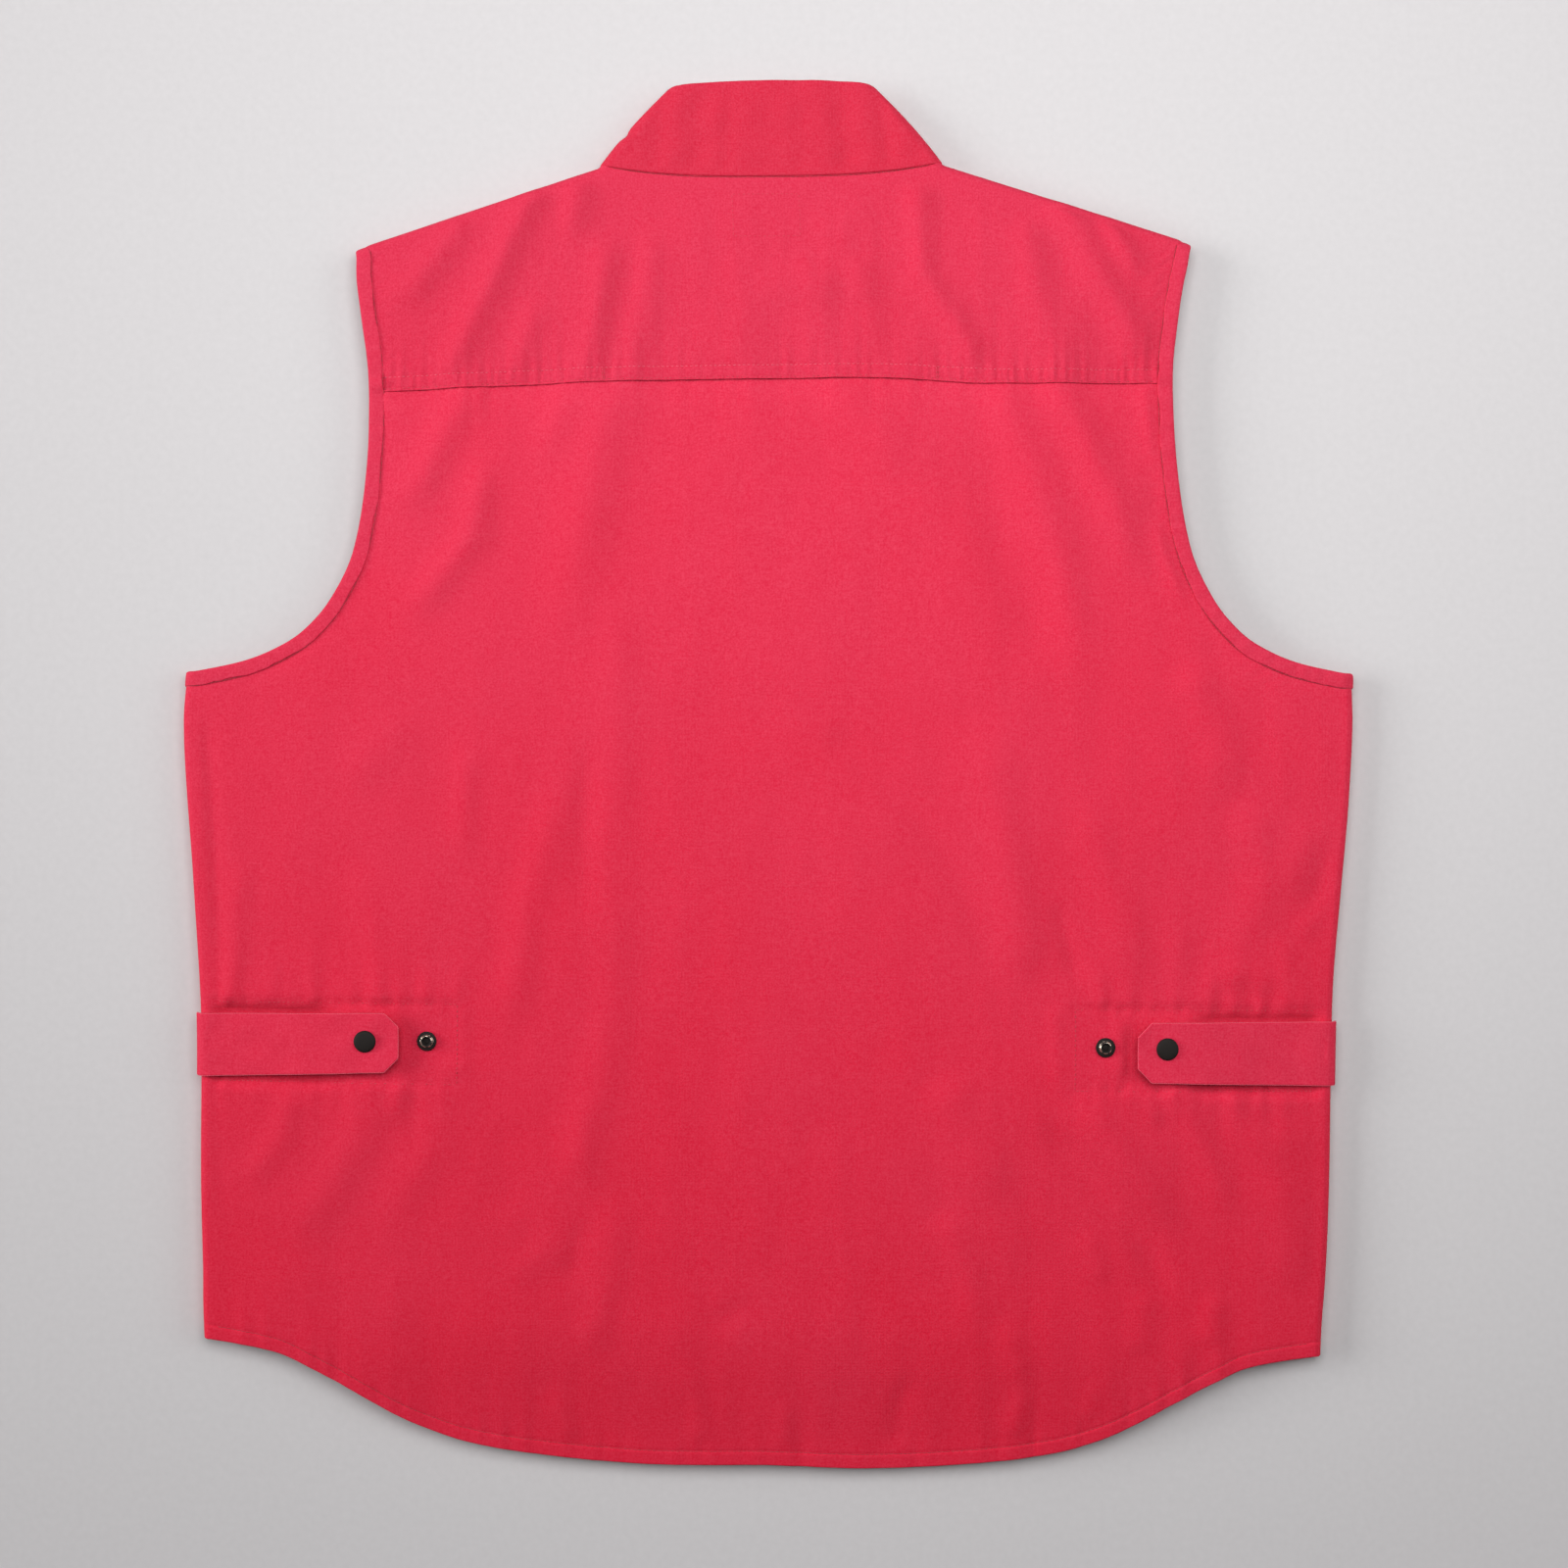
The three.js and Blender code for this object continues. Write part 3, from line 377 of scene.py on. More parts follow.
# Ripples that sewing pulls into the cloth: height, wavelength, number of their random draw, and how far they
# reach from the seam. Those of the vent and the short ones of the yoke are used without a distance.
RIPPLES = {
    "patch_outside": (0.25, 15, 5, 15),
    "patch_inside": (0.25, 15, 5, 2.5),
    "patch_fine": (0.15, 6.5, 9, 4),
    "binding": (0.2, 11, 3, 6),
    "hem_short": (0.12, 9, 4, 8),
    "hem_long": (0.2, 23, 5, 22),
    "under_yoke": (0.14, 10, 1, 10),
    "yoke_short": (0.12, 4.6, 7, 1),
    "yoke_long": (0.22, 7.5, 8, 11),
    "vent": (0.35, 34, 6, 1),
}

# Grooves of sewn rows: depth and half width
GROOVES = {"patch": (0.5, 0.9), "hem": (0.35, 0.8), "yoke": (0.22, 0.7)}


def smooth(start, end, x):
    """Eased step from 0 at start to 1 at end, rising or falling."""
    t = np.clip((x - start) / (end - start), 0, 1)
    return t * t * (3 - 2 * t)


def mix(a, b, t):
    return a + (b - a) * t


def unit(vectors):
    return vectors / np.linalg.norm(vectors, axis=-1, keepdims=True)


def points_of(x, y, z):
    return np.stack(np.broadcast_arrays(x, y, z), -1).astype(float)


def curve(rows):
    """Smooth curve through rows of (input, output), level past its ends."""
    inputs, outputs = np.array(rows, float).T
    last = len(inputs) - 1
    before = np.maximum(np.arange(last + 1) - 1, 0)
    after = np.minimum(np.arange(last + 1) + 1, last)
    slopes = (outputs[after] - outputs[before]) / (inputs[after] - inputs[before])

    def at(x):
        x = np.clip(x, inputs[0], inputs[-1])
        i = np.clip(np.searchsorted(inputs, x) - 1, 0, last - 1)
        span = inputs[i + 1] - inputs[i]
        t = (x - inputs[i]) / span
        bend = t * (1 - t) * span * (slopes[i] * (1 - t) - slopes[i + 1] * t)
        return mix(outputs[i], outputs[i + 1], t * t * (3 - 2 * t)) + bend

    return at


# Outline curves of the pattern
SIDE = curve([
    (-324, 317.5), (-240, 320.8), (-130, 322.0), (-60, 326.8), (-10, 330.8), (30, 332.6), (56, 331.3),
])
HEM = curve([
    (0, -390.6), (65, -391.2), (118, -387.6), (168, -380.2), (201, -368.6),
    (235, -350), (268, -333), (284, -328.4), (316, -323.6),
])
YOKE_EDGE = curve([(-228, 217.5), (-90, 222), (0, 223.3), (64, 223.5), (97, 222), (125, 220.2), (228, 220.5)])


def armhole_curves(rows):
    """The armhole's steep part gives the half width at a height, its flat part the height at a half width."""
    half_at = curve([(y, x) for x, y in rows[CORNER - 1:]])
    height_at = curve(rows[CORNER + 1::-1])
    return half_at, height_at


HALF_AT, HEIGHT_AT = armhole_curves(ARMHOLE)
FRONT_HALF_AT, FRONT_HEIGHT_AT = armhole_curves(FRONT_ARMHOLE)


def roll_centre(y):
    return SIDE(np.minimum(y, ARMPIT_Y)) - ROLL_INSET


def distance_to(chain, x, y):
    """Distance in plan from points to a chain of points."""
    least = np.full(np.shape(x), np.inf)
    for (ax, ay), (bx, by) in zip(chain, chain[1:]):
        dx, dy = bx - ax, by - ay
        t = np.clip(((x - ax) * dx + (y - ay) * dy) / (dx * dx + dy * dy), 0, 1)
        least = np.minimum(least, np.hypot(x - ax - dx * t, y - ay - dy * t))
    return least


def shoulder_y(x):
    straight = mix(NECK[1], TIP[1], (x - NECK[0]) / (TIP[0] - NECK[0]))
    return straight - TIP_ROUNDED["drop"] * smooth(TIP[0] - TIP_ROUNDED["over"], TIP[0], x) ** 2


def collar_out(side):
    """Unit vector in plan, square to the collar's fold line and pointing out over it."""
    along = unit(COLLAR_CORNER - NECK)
    return np.array([along[1] * side, -along[0]])


def collar_fold(t, side):
    """Where the collar's cloth turns over, at a share of its height: bulged, with a notch on the left."""
    bulge = COLLAR_BULGE * 4 * t * (1 - t) - COLLAR_CLOTH / 2
    if side < 0:
        bulge -= COLLAR_NOTCH["deep"] * math.exp(-(((t - COLLAR_NOTCH["at"]) / COLLAR_NOTCH["half"]) ** 2))
    return mix(NECK, COLLAR_CORNER, t) + bulge * collar_out(1)


def neck_seam_y(x):
    """The collar's seam along the yoke, lowest in the middle and rising to the shoulder folds."""
    share = np.minimum(np.abs(x) / NECK[0], 1)
    return COLLAR_BASE_Y + (NECK[1] - COLLAR_BASE_Y) * share ** SEAM_RISE_POWER


def top_of_yoke(x):
    side = np.abs(x)
    return np.where(side > SHOULDER_START, shoulder_y(side), neck_seam_y(side))


def laid(x, y):
    """Where a point of the pattern lies on the floor, with the vest's lean and twist."""
    return x + LEAN * y, y - x * (TWIST + TWIST_PER_MM * y)


PUSHED_RIGHT = curve(PUSHED)


def on_floor(x, y):
    """Where a point of the cloth lies on the floor, with each row pushed a little to one side."""
    floor_x, floor_y = laid(x, y)
    return floor_x + PUSHED_RIGHT(y), floor_y


def pattern_shift():
    """Millimetres from the laid pattern to the frame, from where the two spare studs are."""
    shifts = []
    for word, side in SIDES.items():
        low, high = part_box(f"spare_stud_{word}")
        x, y = laid(side * STUD_X, SNAP_Y)
        shifts.append(((low.x + high.x) / 2 / MM - x, (low.y + high.y) / 2 / MM - y, 0))
    return np.mean(shifts, 0)


SHIFT = pattern_shift()


def in_frame(points):
    """Pattern points in millimetres as frame points in metres."""
    x, y = on_floor(points[..., 0], points[..., 1])
    return (points_of(x, y, points[..., 2]) + SHIFT) * MM


# Relief of the cloth


def crumple(x, y, wavelength, seed):
    """Soft random unevenness of about that wavelength, about 1 high, the same on every run."""
    random = np.random.default_rng(seed)
    total = np.zeros(np.shape(x))
    for _ in range(WAVES):
        angle, phase = random.uniform(0, 2 * math.pi, 2)
        number = 2 * math.pi / (wavelength * random.uniform(*CRUMPLE_SPREAD))
        total = total + np.cos(number * (x * math.cos(angle) + y * math.sin(angle)) + phase)
    return total * math.sqrt(2 / WAVES)


def pucker(along, wavelength, seed):
    """Random ripples along a seam, about 1 high."""
    random = np.random.default_rng(seed)
    total = np.zeros(np.shape(along))
    for _ in range(WAVES):
        number = 2 * math.pi / (wavelength * random.uniform(*RIPPLE_SPREAD))
        total = total + np.cos(number * along + random.uniform(0, 2 * math.pi))
    return total * math.sqrt(2 / WAVES)


def ripple(kind, along, away):
    """Ripples of one kind along a seam, at a distance from it."""
    height, wavelength, draw, reach = RIPPLES[kind]
    return height * pucker(along, wavelength, SEED + draw) * np.exp(-away / reach)


def groove(kind, away):
    """The groove that a sewn row pulls into the cloth, as a height below zero."""
    depth, half = GROOVES[kind]
    return -depth * np.exp(-(away / half) ** 2)


def ridge(x, y, half, crest, comes_up, dies_out, route):
    """Height of one fold: a soft crest along a route, a little wider on its right."""
    route = np.array(route, float)
    spans = np.linalg.norm(np.diff(route, axis=0), axis=1)
    starts = np.concatenate([[0], np.cumsum(spans)])
    away = np.full(x.shape, np.inf)
    along = np.zeros(x.shape)
    for start, end, span, before in zip(route, route[1:], spans, starts):
        dx, dy = (end - start) / span
        reach = np.clip((x - start[0]) * dx + (y - start[1]) * dy, 0, span)
        right = ((x - start[0]) * -dy + (y - start[1]) * dx) * math.copysign(1, -dy)
        gap = np.hypot(x - start[0] - dx * reach, y - start[1] - dy * reach)
        gap = gap / np.where(right > 0, half * FOLD_LEE, half)
        nearer = gap < away
        away = np.where(nearer, gap, away)
        along = np.where(nearer, before + reach, along)
    ends = smooth(0, comes_up, along) * smooth(starts[-1], starts[-1] - dies_out, along)
    return crest * np.exp(-away ** 2) * ends


def all_folds():
    """The table's folds, and the gathers above the tabs as folds of their own."""
    rows = [(*sizes, route) for *sizes, route in ((*row[:4], row[4:]) for row in FOLDS)]
    for x, lean, length, height in GATHERS:
        foot = PATCH_LINES_Y["above"]
        route = [(x, foot), (x + lean, foot + length)]
        rows.append((GATHER_HALF, height, GATHER_COMES_UP, GATHER_DIES_OUT * length, route))
    return rows


def fold_relief(x, y):
    """Height of the folds, each worked out only near its own crest."""
    fx, fy = on_floor(x, y)
    height = np.zeros(x.shape)
    for half, *sizes, route in all_folds():
        low = np.min(route, 0) - 3 * half
        high = np.max(route, 0) + 3 * half
        near = (fx > low[0]) & (fx < high[0]) & (fy > low[1]) & (fy < high[1])
        height[near] += ridge(fx[near], fy[near], half, *sizes, route)
    return height


def off_tab(side, y):
    """Distance in plan from a tab's outline, below zero under the tab."""
    return np.maximum(np.abs(y - TAB_Y) - TAB_WIDTH / 2, TAB_TIP - TAB_OVERHANG - side)


def relief_fade(x, y):
    """Share of the folds that is left near the seams, the hem, the sides and the tabs."""
    side = np.abs(x)
    distances = {
        "side": np.where(y < ARMHOLE[CORNER][1], roll_centre(y), HALF_AT(y)) - side,
        "tab": off_tab(side, y),
        "armhole": distance_to(ARMHOLE, side, y),
        "top": top_of_yoke(x) - y,
        "hem": y - HEM(side),
    }
    return np.prod([smooth(*FOLD_FADE[edge], away) for edge, away in distances.items()], axis=0)


def patch_relief(x, y):
    """Grooves of the patch's sewn lines, and the ripples that they pull above and below."""
    side = np.abs(x)
    inside = smooth(*PATCH_STARTS, side) * smooth(*PATCH_ENDS, side)
    height = np.zeros(x.shape)
    for (word, line), away in zip(PATCH_LINES_Y.items(), (1, -1)):
        beyond = (y - line) * away
        off = np.abs(beyond)
        pulled = np.where(beyond > 0, ripple("patch_outside", x, off), ripple("patch_inside", x, off))
        swell = smooth(0, SWELL_RISES_OVER, beyond) * np.exp(-np.maximum(beyond, 0) / SWELL_REACH)
        sewn = ripple("patch_fine", x, off) + groove("patch", beyond)
        height += inside * (pulled + sewn + PATCH_SWELL[word] * swell)
    return height


def seam_puckers(x, y):
    """Ripples beside the binding and the hem's groove."""
    side = np.abs(x)
    from_binding = np.maximum(distance_to(ARMHOLE, side, y) - BINDING_WIDTH, 0)
    beside_binding = ripple("binding", x - BINDING_SLANT * y, from_binding)
    beside_binding = beside_binding * smooth(*BINDING_CLEAR, from_binding)
    from_hem = np.abs(y - HEM(side) - HEM_WIDTH)
    return beside_binding + ripple("hem_short", x, from_hem) + ripple("hem_long", x, from_hem)


def cloth_relief(x, y):
    """All relief of the back that its body and yoke share."""
    fx, fy = on_floor(x, y)
    side = np.abs(x)
    uneven = np.zeros(np.shape(x))
    for length, height in CRUMPLES:
        uneven = uneven + height * crumple(fx, CRUMPLE_STRETCH * fy, length, SEED + length)
    uneven = uneven * (1 + YOKE_CRUMPLED["more"] * smooth(*YOKE_CRUMPLED["over"], y))
    uneven = uneven * smooth(*YOKE_CRUMPLED["below_collar"], top_of_yoke(x) - y)
    off_binding = smooth(*TAUT["from_binding"], distance_to(ARMHOLE, side, y))
    uneven = uneven * mix(TAUT["at_binding"], 1, off_binding)
    loose = smooth(*TAUT["from_side"], SIDE(np.minimum(y, ARMPIT_Y)) - side)
    loose = loose * mix(1, TAUT["on_tab"], smooth(*TAUT["from_tab"], off_tab(side, y)))
    return fold_relief(x, y) * relief_fade(x, y) + (uneven + seam_puckers(x, y)) * loose


def back_base(x, y):
    """Middle of the back's cloth without relief: level with the side folds, crowned between them."""
    narrow = smooth(*CROWN_REACH["narrows"], y)
    reach = mix(CROWN_REACH["chest"], CROWN_REACH["armholes"], narrow)
    across = 1 - np.minimum(np.abs(x) / reach, 1) ** CROWN_POWER
    low = mix(CROWN_SHARE["hem"], 1, smooth(HEM_LOW_Y, CROWN_SHARE["full_from"], y))
    high = mix(1, CROWN_SHARE["neck"], smooth(CROWN_SHARE["full_to"], NECK[1], y))
    return ROLL_TOP + CROWN * across * low * high


def tab_hollow(x, y):
    """Depth of the hollow that the cloth sinks into between the patch's sewn lines, under the tab's root."""
    depth = TAB_HOLLOW * smooth(*TAB_HOLLOW_FROM, np.abs(x))
    for word, line in PATCH_LINES_Y.items():
        depth = depth * smooth(*TAB_HOLLOW_EASES[word], y - line)
    return depth * smooth(*TAB_HOLLOW_EASES["side"], roll_centre(y) - np.abs(x))


def body_height(x, y):
    """The back body, sinking under the yoke's edge, thicker at its hem and sewn down round the patch."""
    x, y = np.broadcast_arrays(np.asarray(x, float), np.asarray(y, float))
    below = YOKE_EDGE(x) - y
    clear = smooth(*LAP_CLEAR_OF_BINDING, HALF_AT(y) - np.abs(x))
    sink = LAP_SINK * smooth(LAP_SINKS_OVER, 0, below) * mix(LAP_SINK_AT_BINDING, 1, clear) + tab_hollow(x, y)
    over_hem = y - HEM(np.abs(x)) - HEM_WIDTH
    hem = HEM_THICKER * smooth(HEM_STEP, -HEM_STEP, over_hem) + groove("hem", over_hem)
    gathered = ripple("under_yoke", x, np.maximum(below, 0))
    return back_base(x, y) + cloth_relief(x, y) - sink + gathered + hem + patch_relief(x, y)


def yoke_height(x, y):
    """The yoke, puckered between the two rows along its lower edge, level with the collar at its seam."""
    x, y = np.broadcast_arrays(np.asarray(x, float), np.asarray(y, float))
    above = y - YOKE_EDGE(x)
    vent = smooth(0, VENT_REACH, VENT_HALF - np.abs(x))
    lift = VENT_LIFT * vent * smooth(VENT_REACH, 0, above) * (1 + ripple("vent", x, 0))
    middle = sum(YOKE_ROWS) / 2
    between = np.exp(-(((above - middle) / middle) ** 4))
    puckers = ripple("yoke_short", x, 0) * between + ripple("yoke_long", x, np.abs(above - YOKE_ROWS[1]))
    sewn = puckers * mix(1, VENT_PUCKERED, vent) + sum(groove("yoke", above - row) for row in YOKE_ROWS)
    below_collar = neck_seam_y(x) - y
    rise = NECK_RISE * smooth(*NECK_RISES_OVER, below_collar)
    rise = rise - NECK_GROOVE * smooth(NECK_GROOVE_HALF, -NECK_GROOVE_HALF, below_collar)
    at_neck = smooth(SHOULDER_START, SHOULDER_START - NECK_ENDS_OVER, np.abs(x))
    return back_base(x, y) + cloth_relief(x, y) + lift + sewn + rise * at_neck


def front_height(x, y):
    """Middle of a front's cloth: flat on the floor, lifted by the binding's lower fold at the armhole."""
    near = smooth(*FRONT_RISES_OVER, distance_to(FRONT_ARMHOLE, np.abs(x), y))
    return CLOTH / 2 + FRONT_RISE * near


# Making meshes


class Cloth:
    """A sheet being made: grids of pattern points, and the quads between neighbours."""

    def __init__(self):
        self.blocks = []
        self.faces = []
        self.count = 0

    def add(self, points):
        """Takes points by row and column, and gives back their numbers in the same layout."""
        grid = self.count + np.arange(points[..., 0].size).reshape(points.shape[:-1])
        self.blocks.append(points.reshape(-1, 3))
        self.count += grid.size
        return grid

    def join(self, grid):
        """Quads between neighbouring rows and columns of point numbers."""
        corners = (grid[:-1, :-1], grid[:-1, 1:], grid[1:, 1:], grid[1:, :-1])
        self.faces.append(np.stack(corners, -1).reshape(-1, 4))

    def points(self):
        return np.concatenate(self.blocks)

    def quads(self):
        return np.concatenate(self.faces)

    def form(self):
        return self.points(), self.quads()

    def turn_over(self):
        self.faces = [faces[:, ::-1] for faces in self.faces]

    def normals(self):
        points, quads = self.form()
        a, b, c, d = (points[quads[:, i]] for i in range(4))
        facing = np.cross(c - a, d - b)
        sums = np.zeros_like(points)
        for i in range(4):
            np.add.at(sums, quads[:, i], facing)
        return unit(sums)


def piece(name, points, faces, material, slot, *nodes):
    """A smooth-shaded object of pattern points, riding on the vest's one body in place of its solids."""
    mesh = bpy.data.meshes.new(name)
    mesh.from_pydata(in_frame(points).tolist(), [], [list(face) for face in faces])
    mesh.polygons.foreach_set("use_smooth", [True] * len(mesh.polygons))
    mesh.materials.append(material)
    made = bpy.data.objects.new(name, mesh)
    bpy.context.scene.collection.objects.link(made)
    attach(made, BODY)
    if nodes:
        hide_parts(*nodes)
    return made


def weld(made, distance=SAME):
    """Joins points that lie on each other, so that a closed form is one skin, and turns its faces out."""
    form = bmesh.new()
    form.from_mesh(made.data)
    bmesh.ops.remove_doubles(form, verts=form.verts, dist=distance)
    bmesh.ops.recalc_face_normals(form, faces=form.faces)
    form.to_mesh(made.data)
    form.free()
    return made


def mirrored(half):
    return np.concatenate([-half[:0:-1], half])


def turned_edge(edge, facing, radius, flap):
    """Rows of a cloth edge turned under: the flap's end, the flap and a round fold up to the edge row."""
    rows = [flap - 2 * radius * facing, edge + [0, FLAP_START, 0] - 2 * radius * facing]
    for angle in np.linspace(math.pi, 0, TURN_STEPS):
        rows.append(edge - [0, radius * math.sin(angle), 0] - radius * (1 - math.cos(angle)) * facing)
    return np.array(rows)


def side_roll(edge, side):
    """Columns of points from a flat edge round the side fold to the side seam."""
    columns = [
        points_of(edge[:, 0] + side * ROLL * math.cos(a), edge[:, 1], mix(SEAM_Z, edge[:, 2], math.sin(a)))
        for a in ROLL_ANGLES
    ]
    return np.stack(columns, 1)


def grid_rows(low, high, near, even_from, count):
    """Heights of a grid's rows: given ones just over a low edge, then even ones up to a high edge."""
    even = mix(low + even_from, high, np.linspace(0, 1, count)[:, None])
    return np.concatenate([low + np.array(near)[:, None], even])


# Cloth pieces


def back_body():
    """Back from the turned hem up to the armpits, then between the armholes and under the yoke."""
    cloth = Cloth()
    corner_x, corner_y = ARMHOLE[CORNER]
    top_centre = roll_centre(ARMPIT_Y)
    corner_share = corner_x / top_centre
    coarse_share = BACK_COLUMNS["coarse_to"] / top_centre
    coarse = np.linspace(0, coarse_share, BACK_COLUMNS["coarse"])
    fine = np.linspace(coarse_share, corner_share, BACK_COLUMNS["fine"])
    outer = np.linspace(corner_share, 1, BACK_COLUMNS["outer"])
    shares = mirrored(np.concatenate([coarse, fine[1:], outer[1:]]))
    low = HEM(np.abs(shares) * roll_centre(HEM_CORNER_Y))
    across = np.abs(shares * top_centre)
    high = np.where(across > corner_x, HEIGHT_AT(across), corner_y)
    y = grid_rows(low, high, **BACK_ROWS)
    x = shares * roll_centre(y)
    flat = points_of(x, y, body_height(x, y))
    low_block = np.concatenate([side_roll(flat[:, 0], -1)[:, ::-1], flat, side_roll(flat[:, -1], 1)], 1)

    roll_facing = points_of(np.cos(ROLL_ANGLES), 0, np.sin(ROLL_ANGLES))
    facing = np.concatenate([roll_facing[::-1] * [-1, 1, 1], np.tile(UP, (len(shares), 1)), roll_facing])
    flap = low_block[BACK_ROWS["near"].index(HEM_WIDTH)]
    under = turned_edge(low_block[0], facing, HEM_TURN, flap)
    low_grid = np.concatenate([cloth.add(under[:-1]), cloth.add(low_block)])
    cloth.join(low_grid)

    middle = np.abs(shares) < corner_share + SAME
    share = shares[middle] / corner_share
    top = YOKE_EDGE(share * YOKE_HALF)
    up = mix(corner_y, top, np.linspace(0, 1, BACK_UPPER_ROWS)[1:, None])
    y = np.concatenate([up, top + np.array(LAP_ROWS)[:, None]])
    x = share * HALF_AT(y)
    upper = points_of(x, y, body_height(x, y))
    rolled = np.zeros(len(ROLL_ANGLES), bool)
    joined = low_grid[-1:, np.concatenate([rolled, middle, rolled])]
    upper_grid = np.concatenate([joined, cloth.add(upper)])
    cloth.join(upper_grid)

    outside = len(ROLL_ANGLES) + len(outer) - 1
    edges = {
        "left": np.concatenate([low_grid[-1, :outside], upper_grid[:BACK_UPPER_ROWS, 0]]),
        "right": np.concatenate([low_grid[-1, ::-1][:outside], upper_grid[:BACK_UPPER_ROWS, -1]]),
    }
    return cloth, edges


def shoulder_out(side):
    """Unit vectors in plan, square to a shoulder line and pointing out over it."""
    along = unit(TIP - NECK)
    return np.stack([-along[1] * side, np.full(np.shape(side), along[0])], -1)


def back_yoke():
    """Yoke from its turned lower edge up under the collar, and over the shoulder folds beside it."""
    cloth = Cloth()
    tip = ARMHOLE[-1][0]
    inner = np.linspace(0, YOKE_COLUMNS["inner_to"], YOKE_COLUMNS["inner"])
    outer = np.linspace(YOKE_COLUMNS["inner_to"], tip, YOKE_COLUMNS["outer"])
    x = mirrored(np.concatenate([inner, outer[1:]]))
    turn = smooth(*NECK_TURNS, np.abs(x))
    out = unit(mix(np.array([0.0, 1.0]), shoulder_out(np.sign(x)), turn[:, None]))
    neck_top = neck_seam_y(np.abs(x)) + UNDER_COLLAR
    top = np.where(turn >= 1, shoulder_y(np.abs(x)), mix(neck_top, shoulder_y(np.abs(x)), turn))
    centre = np.stack([x, top], -1) - ROLL_INSET * out
    low = YOKE_EDGE(x)
    y = grid_rows(low, centre[:, 1], **YOKE_GRID_ROWS)
    t = (y - low) / (centre[:, 1] - low)
    across = mix(x * HALF_AT(y) / tip, centre[:, 0], t ** 3)
    flat = points_of(across, y, yoke_height(across, y))
    flap_row = YOKE_GRID_ROWS["near"].index(YOKE_FLAP_ROW)
    flap = flat[flap_row] * [1, 0, 1] + np.stack([0 * x, low + YOKE_FLAP, 0 * x], -1)
    rows = [*turned_edge(flat[0], np.tile(UP, (len(x), 1)), YOKE_TURN, flap)[:-1], *flat]
    last = flat[-1]
    for angle in ROLL_ANGLES:
        reach = ROLL * math.cos(angle) * out
        fall = (last[:, 2] - SEAM_Z) * (1 - math.sin(angle)) * turn
        rows.append(last + np.concatenate([reach, -fall[:, None]], 1))
    grid = cloth.add(np.array(rows))
    cloth.join(grid)
    first = len(rows) - len(flat) - len(ROLL_ANGLES)
    return cloth, {"left": grid[first:, 0], "right": grid[first:, -1]}


def bezier(points, u):
    """Points of a cubic curve at shares u of its way."""
    u = np.asarray(u, float)[..., None]
    a, b, c, d = points
    return a * (1 - u) ** 3 + 3 * b * u * (1 - u) ** 2 + 3 * c * u * u * (1 - u) + d * u ** 3


def collar_curve(start, reach, end_y, u):
    """Plan curve that leaves the collar's fold squarely and reaches the front edge level."""
    leave = start - reach * collar_out(1)
    return bezier([start, leave, np.array([reach, end_y]), np.array([FRONT_EDGE, end_y])], u)


def neckline(u):
    return collar_curve(NECK - (COLLAR_CLOTH / 2 + ROLL) * collar_out(1), NECKLINE_REACH, FRONT_NECK_Y, u)


